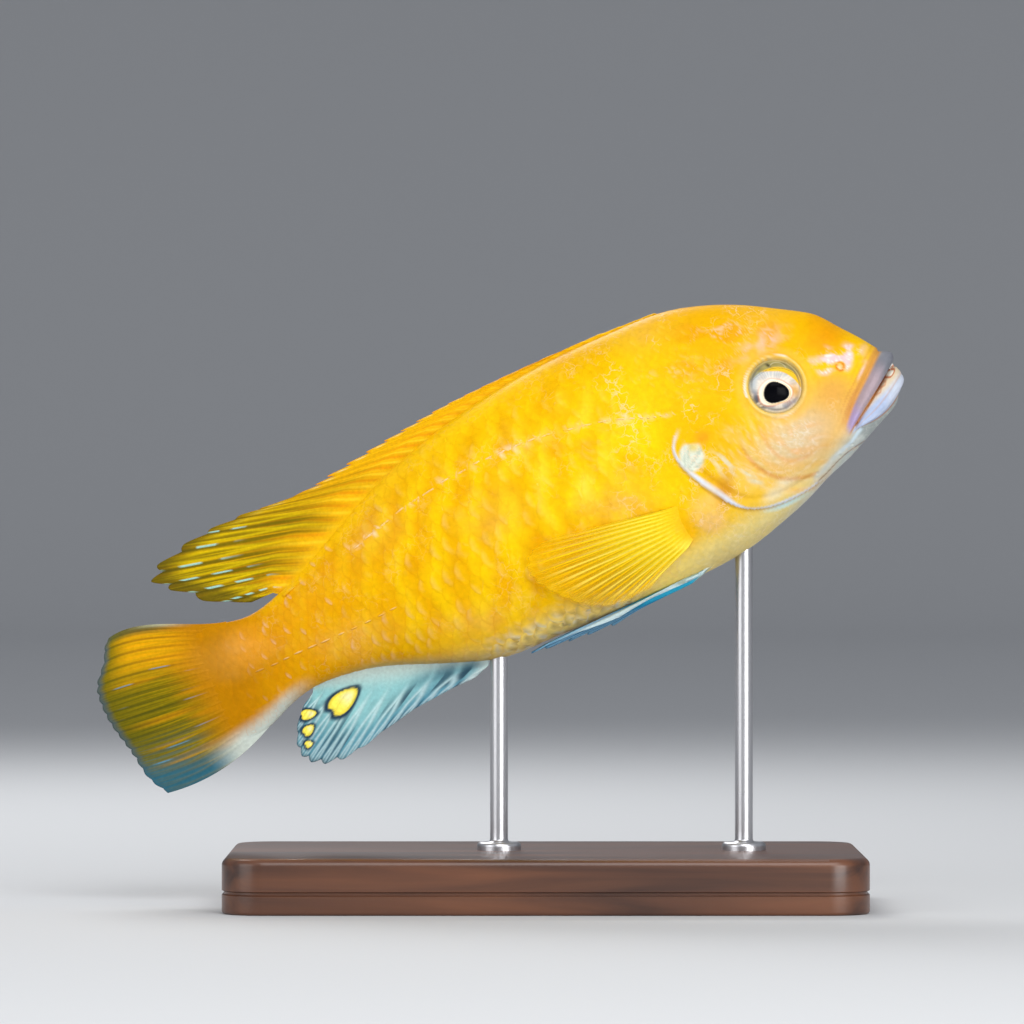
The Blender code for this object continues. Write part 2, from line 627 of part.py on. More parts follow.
def pectoral(side):
    """Middle sheet of a pectoral fin, which lies back along the flank and opens away from it."""
    tips = np.array(PECTORAL_TIPS)

    def middle(u, v):
        tip_a, tip_h = spline(tips[:, [0, 1]], v, 1), spline(tips[:, [0, 2]], v, 1)
        root_a = PECTORAL_ROOT[0][0] + (PECTORAL_ROOT[1][0] - PECTORAL_ROOT[0][0]) * v
        root_h = PECTORAL_ROOT[0][1] + (PECTORAL_ROOT[1][1] - PECTORAL_ROOT[0][1]) * v
        a = root_a + (tip_a - root_a) * u
        h = root_h + (tip_h - root_h) * u
        lift = GAP + 0.55 + PECTORAL_LIFT * u ** 1.5 + relief(a, h)
        points = np.stack([a, flank(a, h), h], axis=-1) + flank_normal(a, h) * lift[..., None]
        return points * np.array([1.0, side, 1.0])

    return middle


def pelvic(side):
    """Middle sheet of a pelvic fin, which lies back under the belly and hangs away from it."""
    tips = np.array(PELVIC_TIPS)

    def middle(u, v):
        tip_a, tip_y = spline(tips[:, [0, 1]], v, 1), spline(tips[:, [0, 2]], v, 1)
        root_a = PELVIC_ROOT[0][0] + (PELVIC_ROOT[1][0] - PELVIC_ROOT[0][0]) * v
        root_y = PELVIC_ROOT[0][1] + (PELVIC_ROOT[1][1] - PELVIC_ROOT[0][1]) * v
        a = root_a + (tip_a - root_a) * u
        y = root_y + (tip_y - root_y) * u
        h = under(a, y) - GAP - 0.55 - PELVIC_HANG * u ** 2.2
        return np.stack([a, side * y, h], axis=-1)

    return middle


def fish_fins(paints):
    """Every fin, each a thin vane whose root faces the body across the gap."""
    spiny = back_fin(SPINY_FIN)
    fin("dorsal_fin_spiny", fan(spiny), 17, 5, paints["fin"], notch=0.16)
    fin("dorsal_fin_soft", fan(back_fin(SOFT_FIN)), 11, 7, paints["fin"], notch=0.07)
    fin("anal_fin", fan(ANAL_FIN), 11, 7, paints["pale_fin"], notch=0.06)
    fin("tail_fin", fan(TAIL_FIN, bow=1.0), 17, 7, paints["fin"], notch=0.035)
    for side, word in ((1, "left"), (-1, "right")):
        fin(f"pectoral_fin_{word}", pectoral(side), 13, 7, paints["fin"], notch=0.03,
            crest=(0.85, 0.55))
        fin(f"pelvic_fin_{word}", pelvic(side), 6, 8, paints["pale_fin"], notch=0.08)


def stand(paints):
    """A flat wooden base with bevelled edges, and two steel rods that end at the belly."""
    length, width, height = STAND_BASE
    corners = []
    for k, (cx, cy) in enumerate(((1, 1), (-1, 1), (-1, -1), (1, -1))):
        for step in range(6):
            turn = math.radians(90 * k + 18 * step)
            corners.append((cx * (length / 2 - BASE_CORNER), cy * (width / 2 - BASE_CORNER),
                            math.cos(turn), math.sin(turn)))
    rings = []
    for z, inset in ((0.0, 0.5), (0.5, 0.0), (height - BASE_CHAMFER, 0.0), (height, BASE_CHAMFER)):
        reach = BASE_CORNER - inset
        rings += [((x + c * reach) * MM, (y + s * reach) * MM, z * MM) for x, y, c, s in corners]
    count = len(corners)
    faces = [(r * count + j, r * count + (j + 1) % count, (r + 1) * count + (j + 1) % count,
              (r + 1) * count + j) for r in range(3) for j in range(count)]
    faces += [tuple(range(count)), tuple(range(3 * count, 4 * count))]
    finish("stand_base", rings, faces, paints["wood"])
    for word, a in ROD_STATIONS.items():
        belly = place((a, 0.0, float(spline(BELLY, a))))
        foot = height + GAP
        profile = ((foot, 0.0), (foot, ROD_FOOT_RADIUS), (foot + ROD_FOOT * 0.7, ROD_FOOT_RADIUS),
                   (foot + ROD_FOOT, ROD_FOOT_RADIUS - ROD_FOOT * 0.3), (foot + ROD_FOOT, ROD_RADIUS),
                   (belly[2] / MM + 4.0, ROD_RADIUS), (belly[2] / MM + 4.0, 0.0))
        rod = turned(f"stand_rod_{word}", profile, belly[0] / MM, paints["steel"])
        boolean(rod, "DIFFERENCE", [helper(loft("grown", body_rings(GAP)))])


def turned(name, profile, x, material, sides=24):
    """A solid of revolution about a vertical line through x, from (height, radius) pairs."""
    turn = np.linspace(0, 2 * math.pi, sides, endpoint=False)
    vertices = [((x + r * c) * MM, r * s * MM, z * MM) for z, r in profile
                for c, s in zip(np.cos(turn), np.sin(turn))]
    faces = [(k * sides + j, k * sides + (j + 1) % sides, (k + 1) * sides + (j + 1) % sides,
              (k + 1) * sides + j) for k in range(len(profile) - 1) for j in range(sides)]
    return finish(name, vertices, faces, material)


def clear_scene():
    for obj in list(bpy.data.objects):
        bpy.data.objects.remove(obj)


def main():
    clear_scene()
    paints = {
        "skin": paint("skin", (0.95, 0.55, 0.03), 0.4),
        "eye": paint("eye", (0.75, 0.68, 0.55), 0.1),
        "fin": paint("fin", (0.55, 0.45, 0.04), 0.45),
        "pale_fin": paint("pale_fin", (0.35, 0.62, 0.68), 0.45),
        "wood": paint("wood", (0.12, 0.06, 0.03), 0.5),
        "steel": paint("steel", (0.6, 0.6, 0.62), 0.3, 1.0),
    }
    fish_body(paints)
    fish_fins(paints)
    stand(paints)


main()
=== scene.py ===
"""Finish of the zebra mbuna model: one skin with scales, fine fins, eyes, teeth and the stand.

Lengths are millimetres in the fish's frame until place() turns them into the model's metres: a runs
back from the snout, y to the fish's left, h up from the body's axis, nose pitched up.
"""
import math
import bpy
import numpy as np
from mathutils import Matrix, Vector


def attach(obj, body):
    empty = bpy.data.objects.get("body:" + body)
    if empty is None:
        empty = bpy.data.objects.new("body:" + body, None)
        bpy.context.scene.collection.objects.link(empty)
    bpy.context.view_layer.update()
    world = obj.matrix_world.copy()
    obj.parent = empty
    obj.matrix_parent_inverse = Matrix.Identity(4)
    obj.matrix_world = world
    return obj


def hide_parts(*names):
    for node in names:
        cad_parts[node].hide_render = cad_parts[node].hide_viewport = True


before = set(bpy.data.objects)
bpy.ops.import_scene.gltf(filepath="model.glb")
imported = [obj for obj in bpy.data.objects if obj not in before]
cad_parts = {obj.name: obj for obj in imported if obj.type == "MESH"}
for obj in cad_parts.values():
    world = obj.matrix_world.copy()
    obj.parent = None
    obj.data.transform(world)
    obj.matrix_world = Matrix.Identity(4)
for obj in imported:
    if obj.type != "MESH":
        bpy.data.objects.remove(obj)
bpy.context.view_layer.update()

# The fish's frame in the model's: pitch, the snout's place, and how far the tail sways to its left
MM = 0.001
PITCH = math.radians(24.0)
SNOUT_X, SNOUT_Z = 51.9, 77.0
SWAY, SWAY_FROM = 4.0, 62.0
TOTAL_LENGTH = 126.0
SIDES = ((1, "left"), (-1, "right"))

# Contours of the body: stations a from the snout, and the height or half-width there
SNOUT_A, FLESH_END = 0.7, 111.0
BACK = (
    (0.7, 1.9), (0.9, 3.1), (1.6, 4.5), (2.5, 5.8), (4.0, 7.9), (6.0, 10.4), (8.0, 12.9),
    (10.0, 14.4), (13.0, 16.2), (17.0, 18.5), (22.0, 20.7), (28.0, 22.3), (36.0, 22.7),
    (46.0, 22.6), (56.0, 21.7), (66.0, 19.7), (76.0, 16.6), (86.0, 12.2), (93.0, 8.85),
    (98.0, 7.0), (101.5, 6.55), (105.0, 7.2), (107.5, 7.95), (111.0, 8.8),
)
BELLY = (
    (0.7, 1.9), (0.85, 0.3), (1.5, -2.0), (2.6, -3.5), (4.3, -4.45), (7.0, -5.65), (9.5, -6.8),
    (12.0, -7.9), (16.0, -9.3), (20.0, -11.0), (25.0, -12.6), (30.0, -13.9), (36.0, -14.6),
    (44.0, -14.7), (54.0, -14.6), (63.0, -14.3), (70.0, -13.9), (75.0, -12.3), (80.0, -10.4),
    (86.0, -8.1), (92.0, -6.9), (96.5, -6.75), (101.0, -7.9), (105.0, -9.45), (107.5, -9.95),
    (111.0, -10.45),
)
HALF_WIDTH = (
    (0.7, 0.0), (0.85, 1.9), (1.5, 3.4), (3.0, 4.7), (5.5, 5.7), (9.0, 6.5), (13.0, 7.2),
    (18.0, 8.0), (24.0, 8.8), (30.0, 9.25), (38.0, 9.4), (48.0, 9.25), (58.0, 8.7),
    (68.0, 7.75), (78.0, 6.4), (88.0, 4.8), (95.0, 3.6), (100.0, 2.4), (105.0, 1.15), (107.5, 0.55),
    (111.0, 0.05),
)
WIDEST_AT = (
    (0.7, 1.9), (3.0, 0.4), (6.0, -1.6), (9.5, -3.8), (12.0, -3.7), (16.0, -1.4), (22.0, 0.8),
    (32.0, 2.4), (46.0, 3.0), (60.0, 2.8), (76.0, 1.8), (90.0, 0.9), (105.0, -1.1), (107.5, -1.1),
    (111.0, -1.0),
)
# Powers of the section's upper and lower halves: 2 is an ellipse, more is fuller
UPPER_ROUNDING, LOWER_ROUNDING = 1.95, 2.2

# The mouth: its corner, the height of its line at the snout and how steeply that falls, then how
# far it opens in front and how far the lips stand out
CORNER = (9.6, -3.95)
MOUTH_HEIGHT = 1.9
GAPE_FALL = (MOUTH_HEIGHT - CORNER[1]) / (CORNER[0] - SNOUT_A)
MOUTH_OPEN = 0.8
LIP_HEIGHT = 0.75
# Lips: at each station the upper lip's upper edge and the lower lip's lower edge, off the gape
LIP_EDGES = (
    (0.7, 2.55, 2.8), (3.0, 2.45, 2.95), (5.0, 2.2, 2.6), (7.0, 1.98, 1.8), (9.0, 1.6, 0.75),
    (10.0, 1.3, 0.4), (11.4, 0.9, 0.4),
)
# The eye's middle, then its radius, half-depth and how far it stands out of the flank
EYE_A, EYE_H = 17.95, 5.9
EYE_RADIUS, EYE_DEPTH, EYE_STANDS_OUT = 4.3, 2.6, 1.3
NOSTRIL_A, NOSTRIL_H = 8.2, 4.7
# The cheek's rear edge, the gill cover's and the lower jaw's, each as a line in side view
COVER_FRONT = (
    (29.5, 7.4), (27.0, 5.2), (26.1, 2.0), (25.6, -1.2), (24.4, -4.2), (22.2, -6.7), (19.0, -8.0),
    (16.2, -8.3),
)
COVER_REAR = (
    (32.2, 7.0), (34.7, 4.6), (35.3, 1.9), (34.2, -1.4), (32.2, -4.9), (29.3, -8.2), (24.0, -9.8),
    (16.8, -9.2),
)
JAW_EDGE = ((8.7, -6.5), (11.2, -6.85), (13.5, -7.45), (16.2, -8.6), (18.5, -9.4))
# Sensory pores of the head, below the eye, along the cheek's edge and under the jaw
PORES = (
    (12.4, 4.4), (12.6, 1.9), (14.2, 0.2), (17.0, -0.6), (20.2, 0.2), (22.2, 2.2), (23.0, 5.4),
    (24.2, 8.2), (26.4, 3.4), (26.0, -0.6), (24.6, -4.4), (21.6, -7.2), (17.4, -8.0), (13.4, -7.0),
    (11.2, -6.2), (20.5, 12.0), (13.5, 11.6), (27.5, 9.6),
)
# The side line's two runs
UPPER_LINE = (
    (33.5, 8.4), (36.5, 9.2), (41.0, 10.8), (50.0, 12.8), (58.0, 13.3), (66.0, 13.0), (75.0, 11.4),
    (84.0, 9.0),
)
LOWER_LINE = ((80.0, -1.0), (88.0, -1.2), (96.0, -1.3), (103.5, -1.2))

# Fins, as root and tip in side view: on the back, under the tail, at its end, then the paired ones
SPINY_FIN = (
    (28.0, 33.0, 22.75), (34.0, 42.0, 23.05), (40.0, 50.0, 23.2), (46.0, 57.2, 23.1),
    (52.0, 63.6, 22.8), (58.0, 70.0, 22.1), (64.0, 77.0, 21.2), (70.0, 84.2, 20.1),
    (73.8, 88.6, 19.9),
)
SOFT_FIN = (
    (74.6, 91.0, 20.0), (77.5, 95.5, 20.4), (80.5, 101.0, 20.4), (83.5, 106.5, 19.7),
    (86.3, 111.4, 18.1), (88.9, 111.4, 15.9), (91.2, 108.6, 13.5), (93.3, 105.2, 10.6),
    (95.3, 99.8, 8.2),
)
ANAL_FIN = (
    (0.0, 71.2, -13.8, 74.6, -15.0), (0.1, 75.2, -12.55, 81.2, -15.3),
    (0.2, 78.4, -11.3, 87.5, -16.2), (0.35, 82.4, -9.75, 95.0, -17.9),
    (0.5, 85.8, -8.5, 99.6, -17.6), (0.65, 88.9, -7.8, 101.9, -15.9),
    (0.8, 91.8, -7.3, 102.2, -13.3), (0.9, 94.0, -7.1, 101.0, -10.8),
    (1.0, 96.4, -7.1, 99.0, -8.6),
)
TAIL_FIN = (
    (0.0, 105.3, 7.4, 121.0, 11.9), (0.07, 105.3, 6.2, 122.2, 10.8), (0.15, 105.3, 4.85, 123.1, 9.1),
    (0.25, 105.3, 3.1, 125.1, 6.8), (0.38, 105.3, 0.9, 126.0, 4.0), (0.5, 105.3, -1.2, 126.0, 1.1),
    (0.65, 105.3, -3.7, 125.3, -2.6), (0.8, 105.3, -6.3, 124.6, -6.2), (0.9, 105.3, -8.0, 124.0, -9.2),
    (1.0, 105.3, -9.6, 122.3, -12.2),
)
PECTORAL_ROOT = ((37.0, -4.2), (37.3, -9.3))
PECTORAL_TIPS = (
    (0.0, 56.0, -0.8), (0.15, 59.3, -1.2), (0.3, 61.0, -2.9), (0.45, 60.8, -5.4),
    (0.6, 58.5, -8.3), (0.75, 55.6, -10.8), (0.9, 51.0, -12.2), (1.0, 46.0, -12.0),
)
PELVIC_ROOT = ((36.8, 2.9), (38.8, 1.1))
PELVIC_TIPS = (
    (0.0, 52.0, 3.3), (0.2, 65.5, 3.1), (0.4, 63.0, 2.6), (0.6, 60.0, 2.1), (0.8, 57.0, 1.6),
    (1.0, 53.0, 1.1),
)
PELVIC_HANG = 1.3
# Egg spots of the anal fin: place, half-length, half-height and slant in degrees
EGG_SPOTS = (
    (93.4, -10.3, 2.7, 1.45, -18), (98.9, -10.0, 1.25, 0.75, 12), (99.8, -12.1, 1.0, 0.7, -20),
    (100.6, -14.0, 0.65, 0.5, 0),
)

# Scales: spacing along and between rows, of the large and the small ones, and how far they lift
SCALE_LENGTH, SCALE_ROW = 2.25, 2.4
SMALL_SCALE, SMALL_ROW = 1.35, 1.25
SCALE_LIFT = 0.075


def colour(paint):
    """Linear colour of a paint given as three screen values from 0 to 255."""
    c = np.array(paint) / 255
    return np.where(c <= 0.04045, c / 12.92, ((c + 0.055) / 1.055) ** 2.4)


# Paints used more than once, or for large parts, as screen values
GOLD = (236, 186, 2)
LEMON = (236, 196, 4)
ORANGE = (218, 142, 0)
DEEP_ORANGE = (176, 116, 0)
PEACH = (206, 170, 124)
CREAM = (212, 198, 164)
WHITE = (238, 238, 226)
LILAC = (222, 196, 206)
LIP_GREY = (160, 146, 154)
LIP_BLUE = (150, 170, 208)
THROAT = (180, 194, 198)
BELLY_GREY = (196, 180, 124)
CYAN = (142, 196, 198)
SEA = (70, 138, 158)
DEEP_BLUE = (22, 50, 74)
EGG = (250, 238, 92)
INK = (8, 8, 12)


def spline(table, at, power=0.5):
    """Natural cubic spline through (station, value) pairs, over the distance from the first
    station raised to a power: 0.5 for the blunt snout, 1 for plain spacing."""
    stations, values = np.array(table, float).T
    knots = (stations - stations[0]) ** power
    step = np.diff(knots)
    rise = np.diff(values) / step
    count = len(knots)
    left = np.eye(count)
    right = np.zeros(count)
    for k in range(1, count - 1):
        left[k, k - 1:k + 2] = step[k - 1], 2 * (step[k - 1] + step[k]), step[k]
        right[k] = 6 * (rise[k] - rise[k - 1])
    bend = np.linalg.solve(left, right)
    q = np.clip(np.asarray(at, float) - stations[0], 0, None) ** power
    k = np.clip(np.searchsorted(knots, q) - 1, 0, count - 2)
    t = q - knots[k]
    slope = rise[k] - step[k] * (2 * bend[k] + bend[k + 1]) / 6
    return values[k] + t * (slope + t * (bend[k] / 2 + t * (bend[k + 1] - bend[k]) / (6 * step[k])))


def along(points, at):
    """Points of a smooth curve through the given ones, at shares of its way from 0 to 1."""
    points = np.array(points, float)
    share = np.linspace(0, 1, len(points))
    return np.stack([spline(np.c_[share, column], at, 1) for column in points.T], axis=-1)


def ramp(value, low, high):
    """0 below low, 1 above high and an S between."""
    t = np.clip((value - low) / (high - low), 0, 1)
    return t * t * (3 - 2 * t)


def fade(value, low, high):
    """1 below low, 0 above high and an S between."""
    return 1 - ramp(value, low, high)


def ridge(offset, half):
    """A smooth bump, 1 at no offset and 0 from half away."""
    return np.clip(1 - (offset / half) ** 2, 0, None) ** 2


def ripple(*waves):
    """A slow irregular wave from -1 to 1: the mean of sines of unlike lengths and directions."""
    return sum(np.sin(w + 1.7 * k) for k, w in enumerate(waves)) / len(waves)


def hashed(number, salt=0.0):
    """A repeatable stray value from 0 to 1 for each whole number, the rest of a large sine."""
    return np.modf(np.abs(np.sin(np.asarray(number, float) * 12.9898 + salt * 78.233) * 43758.5453))[0]


def section(a, angle):
    """Points of the plain body: two half superellipses at each station, from the back at angle 0
    by the left side to the belly at 180 degrees."""
    back, belly, half, middle = (spline(t, a) for t in (BACK, BELLY, HALF_WIDTH, WIDEST_AT))
    cosine, sine = np.cos(angle), np.sin(angle)
    power = np.where(cosine >= 0, 2 / UPPER_ROUNDING, 2 / LOWER_ROUNDING)
    reach = np.where(cosine >= 0, back - middle, middle - belly)
    h = middle + reach * np.sign(cosine) * np.abs(cosine) ** power
    y = np.clip(half, 0, None) * np.sign(sine) * np.abs(sine) ** power
    return np.stack(np.broadcast_arrays(a, y, h), axis=-1)


def body(a, turn):
    """Points of the plain body with the flank's columns closer together than the back's."""
    return section(a, turn + 0.2 * np.sin(2 * turn))


def body_normal(a, turn):
    """Outward normal of the plain body, the cross product of its two directions."""
    fore = body(a + 0.03, turn) - body(np.maximum(a - 0.03, SNOUT_A + 0.001), turn)
    round_it = body(a, turn + 0.01) - body(a, turn - 0.01)
    normal = np.cross(fore, round_it)
    return normal / np.maximum(np.linalg.norm(normal, axis=-1, keepdims=True), 1e-12)


def flank(a, h):
    """Half-width of the plain body at a station and height."""
    back, belly, half, middle = (spline(t, a) for t in (BACK, BELLY, HALF_WIDTH, WIDEST_AT))
    above = h >= middle
    power = np.where(above, UPPER_ROUNDING, LOWER_ROUNDING)
    share = np.abs(h - middle) / np.where(above, back - middle, middle - belly)
    return half * np.clip(1 - np.clip(share, 0, 1) ** power, 0, None) ** (1 / power)


def flank_normal(a, h):
    """Outward normal of the left flank at a station and height, as (a, y, h) parts."""
    tiny = 0.05
    fore = (flank(a + tiny, h) - flank(a - tiny, h)) / (2 * tiny)
    rise = (flank(a, h + tiny) - flank(a, h - tiny)) / (2 * tiny)
    normal = np.stack(np.broadcast_arrays(-fore, 1.0, -rise), axis=-1)
    return normal / np.linalg.norm(normal, axis=-1, keepdims=True)


def under(a, y):
    """Height of the belly's surface at a station and a distance from the midline."""
    belly, half, middle = (spline(t, a) for t in (BELLY, HALF_WIDTH, WIDEST_AT))
    share = np.clip(np.abs(y) / half, 0, 1)
    return middle - (middle - belly) * (1 - share ** LOWER_ROUNDING) ** (1 / LOWER_ROUNDING)


def off_spot(a, h, spot_a, spot_h):
    """Distance from a spot in side view."""
    return np.hypot(a - spot_a, h - spot_h)


LINE_PARTS = 80


def off_line(a, h, points):
    """Distance from a smooth line, positive behind it where it runs down, and the share along it."""
    line = along(points, np.linspace(0, 1, LINE_PARTS + 1))
    run = np.gradient(line, axis=0)
    away = np.hypot(a[..., None] - line[:, 0], h[..., None] - line[:, 1])
    k = away.argmin(-1)
    cross = run[k, 0] * (h - line[k, 1]) - run[k, 1] * (a - line[k, 0])
    return np.sign(cross) * away.min(-1), k / LINE_PARTS


def off_gape(a, h):
    """Distance above the mouth's line, square to it."""
    return (h - MOUTH_HEIGHT + GAPE_FALL * (a - SNOUT_A)) * math.cos(math.atan(GAPE_FALL))


def lips(a, off):
    """Rise of the upper and the lower lip, 0 to 1, at a station and a distance off the mouth's
    line, then the upper lip's edge there and the shares of the way to both edges."""
    table = np.array(LIP_EDGES)
    at = np.clip(a, SNOUT_A, table[-1, 0])
    top, low = spline(table[:, [0, 1]], at, 1), spline(table[:, [0, 2]], at, 1)
    share = -off / low
    lower = ridge((share - 0.62) / np.where(share < 0.62, 0.66, 0.42), 1)
    return ridge(2 * off / top - 1, 1), lower, top, off / top, share


def relief(a, h):
    """How far the skin stands off the plain body, by its place in side view: lips, folds, the
    mouth's slit, the eye's rim and hollow, the nostril, the cheek's and gill cover's edges, pores
    and the lobe that carries the pectoral fin."""
    out = np.zeros(np.broadcast(a, h).shape)
    a, h = np.broadcast_to(a, out.shape), np.broadcast_to(h, out.shape)
    off = off_gape(a, h)
    upper, lower, top, high, low = lips(a, off)
    # The lips, with their folds and the mouth's slit
    upper = upper * fade(a - CORNER[0], 0.2, 1.8)
    lower = 1.1 * lower * fade(a - CORNER[0], -0.8, 0.4)
    out += LIP_HEIGHT * (upper + lower)
    out -= 0.3 * ridge(off - top - 0.3, 0.5) * fade(a, 9.5, 12.0)
    out -= 0.07 * ridge(high - 0.62 - 0.05 * np.sin(0.9 * a), 0.16) * fade(a, 9.5, 11.0)
    out -= 0.14 * ridge(low - 1.03, 0.14) * fade(a, 8.5, 9.8)
    creases = ridge(low - 0.46, 0.1) + 0.6 * ridge(low - 0.78 - 0.04 * np.sin(1.3 * a), 0.08)
    out -= 0.1 * creases * fade(a, 7.5, 9.5)
    gap = 0.16 + MOUTH_OPEN * 0.3 * np.clip(1 - (a - SNOUT_A) / 6, 0, 1)
    out -= (1.1 - 0.5 * ramp(a, 2.5, 5)) * ridge(off, gap) * fade(a, CORNER[0] - 0.6, CORNER[0] + 0.5)
    # Swellings behind the mouth's corner, of the cheek and in front of the eye
    out += 0.28 * ridge(np.hypot(a - 11.4, (h + 4.6) * 0.8), 1.7)
    out += 0.35 * ridge(np.hypot(a - 19.5, (h + 3.0) * 1.1), 6.0)
    out += 0.12 * ridge(np.hypot(a - 9.5, (h - 9.5) * 0.8), 3.5)
    # The eye's rim and hollow, the nostril and the pectoral fin's lobe
    eye = off_spot(a, h, EYE_A, EYE_H)
    out += 0.36 * ridge(eye - 4.25, 0.6) + 0.2 * ridge(eye - 4.8, 1.8) - 0.05 * ridge(eye - 5.4, 0.5)
    out -= 2.2 * fade(eye, 3.3, 4.0)
    hole = off_spot(a, h, NOSTRIL_A, NOSTRIL_H)
    out += 0.14 * ridge(hole - 0.55, 0.3) - 0.4 * fade(hole, 0.12, 0.42)
    lobe = np.hypot((a - 34.7) / 2.9, (h + 7.0) / 3.6)
    out += 0.42 * ridge(lobe, 1.0)
    # On the head: the cheek's fold, the gill cover's plate, the lower jaw's edge and the pores
    head = (a > 8) & (a < 40)
    ah, hh = a[head], h[head]
    front, share = off_line(ah, hh, COVER_FRONT)
    inside = ramp(share, 0.0, 0.1) * fade(share, 0.93, 1.0)
    fold = 0.05 * ramp(-front, -0.6, 0.8) * fade(-front, 0.9, 4.2) - 0.07 * ridge(front - 0.35, 1.1)
    fold -= 0.06 * ridge(front + 3.0, 0.6) * ramp(ah, 13, 17)
    rear, way = off_line(ah, hh, COVER_REAR)
    free = ramp(way, 0.02, 0.22) * fade(way, 0.94, 1.0)
    plate = 0.36 * ramp(-rear, -0.26, 0.3) * fade(-rear, 0.5, 6.0) - 0.05 * ridge(rear - 0.4, 0.5)
    plate -= 0.12 * ridge(rear + 1.5, 0.5)
    under_jaw, part_way = off_line(ah, hh, JAW_EDGE)
    plate -= 0.16 * ridge(under_jaw, 0.3) * ramp(part_way, 0, 0.06) * fade(part_way, 0.8, 1.0)
    pits = np.zeros_like(ah)
    for pore_a, pore_h in PORES:
        pore = off_spot(ah, hh, pore_a, pore_h)
        pits += 0.05 * ridge(pore - 0.34, 0.26) - 0.2 * ridge(pore, 0.27)
    out[head] += fold * inside + plate * free + pits
    return out + 0.07 * swell(a, h)


def sway(a):
    """Sideways bend of the tail, growing with the square of the distance behind the belly."""
    return SWAY * (np.clip(a - SWAY_FROM, 0, None) / (TOTAL_LENGTH - SWAY_FROM)) ** 2


def place(points):
    """The fish's frame in millimetres to the model's frame in metres, with the tail's sway."""
    a, y, h = np.moveaxis(np.asarray(points, float), -1, 0)
    x = SNOUT_X - a * math.cos(PITCH) - h * math.sin(PITCH)
    z = SNOUT_Z - a * math.sin(PITCH) + h * math.cos(PITCH)
    return np.stack([x, y + sway(a), z], axis=-1) * MM


def on_side(points, side):
    """Points of the left side as they are, or mirrored where side is -1."""
    return points * np.array([1.0, side, 1.0])


def primed(paint, shape):
    """A first coat of one paint over an array of places."""
    return np.broadcast_to(colour(paint), shape).copy()


def lay(tint, paint, share):
    """Lays a paint, or another coat, over tint where share is above 0, and gives tint: the rest of
    the share of what was there, plus the share of the paint."""
    share = np.clip(np.asarray(share, float), 0, 1)[..., None]
    tint *= 1 - share
    tint += (colour(paint) if isinstance(paint, tuple) else paint) * share
    return tint


def turned(a, h, centre, turn):
    """Places seen from a centre: how far along a direction given in degrees, and across it."""
    c, s = math.cos(math.radians(turn)), math.sin(math.radians(turn))
    da, dh = a - centre[0], h - centre[1]
    return da * c + dh * s, dh * c - da * s


def blot(a, h, centre, size, turn=0.0):
    """1 in the middle of an ellipse in side view, fading to 0 at its rim."""
    lengthwise, across = turned(a, h, centre, turn)
    return ridge(np.hypot(lengthwise / size[0], across / size[1]), 1.0)


def net(a, h, size, salt=0.0):
    """Network of thin lines: the borders between the regions that lie nearest to points strewn one
    to each square of a bent grid."""
    p = a / size + 0.5 * np.sin(1.3 * h / size + salt) + 0.25 * np.sin((3.1 * a + 1.9 * h) / size)
    q = h / size + 0.5 * np.sin(1.7 * a / size + salt) + 0.25 * np.sin((2.7 * h - 2.3 * a) / size)
    col, row = np.floor(p), np.floor(q)
    near = np.full(np.shape(p), 9.0)
    second = near
    for dc in (-1, 0, 1):
        for dr in (-1, 0, 1):
            key = (col + dc) * 57.0 + row + dr + salt
            far = np.hypot(col + dc + hashed(key, 21.0) - p, row + dr + hashed(key, 22.0) - q)
            second = np.minimum(second, np.maximum(near, far))
            near = np.minimum(near, far)
    return (ridge(second - near, 0.2)
            * ramp(ripple((2.3 * a + h) / size, (2.9 * h - a) / size), -0.75, 0.1))


def height_share(a, h):
    """Share of the way up from the belly's contour to the back's."""
    low, high = spline(BELLY, a), spline(BACK, a)
    return (h - low) / np.maximum(high - low, 0.5)


def swell(a, h):
    """Soft upright folds of the flank: a wave along the picture's width, bent by slower waves."""
    level, rise = a * math.cos(PITCH) + h * math.sin(PITCH), h * math.cos(PITCH) - a * math.sin(PITCH)
    wave = np.sin(1.25 * level + 1.5 * np.sin(0.24 * rise + 0.16 * level)
                  + 0.8 * np.sin(0.62 * rise - 0.3 * level))
    up = height_share(a, h)
    return (wave * ramp(a, 38, 50) * (1 - 0.85 * ramp(a, 74, 92)) * ramp(up, 0.06, 0.25)
            * fade(up, 0.85, 1.0))


def slow_waves(a, h):
    """Patterns that the skin's paints share: a wave from -1 to 1, then patches and clouds, 0 to 1."""
    waver = ripple(a * 0.31 + h * 0.2, h * 0.47 - a * 0.13, a * 0.11 - h * 0.29)
    patchy = ramp(ripple(a * 0.9 + h * 0.5, h * 1.3 - a * 0.4, a * 0.5 - h * 0.8), 0.0, 0.5)
    clouds = ramp(ripple(a * 0.42 - h * 0.3, h * 0.6 + a * 0.2, a * 0.77 + h * 0.1), -0.2, 0.6)
    return waver, patchy, clouds


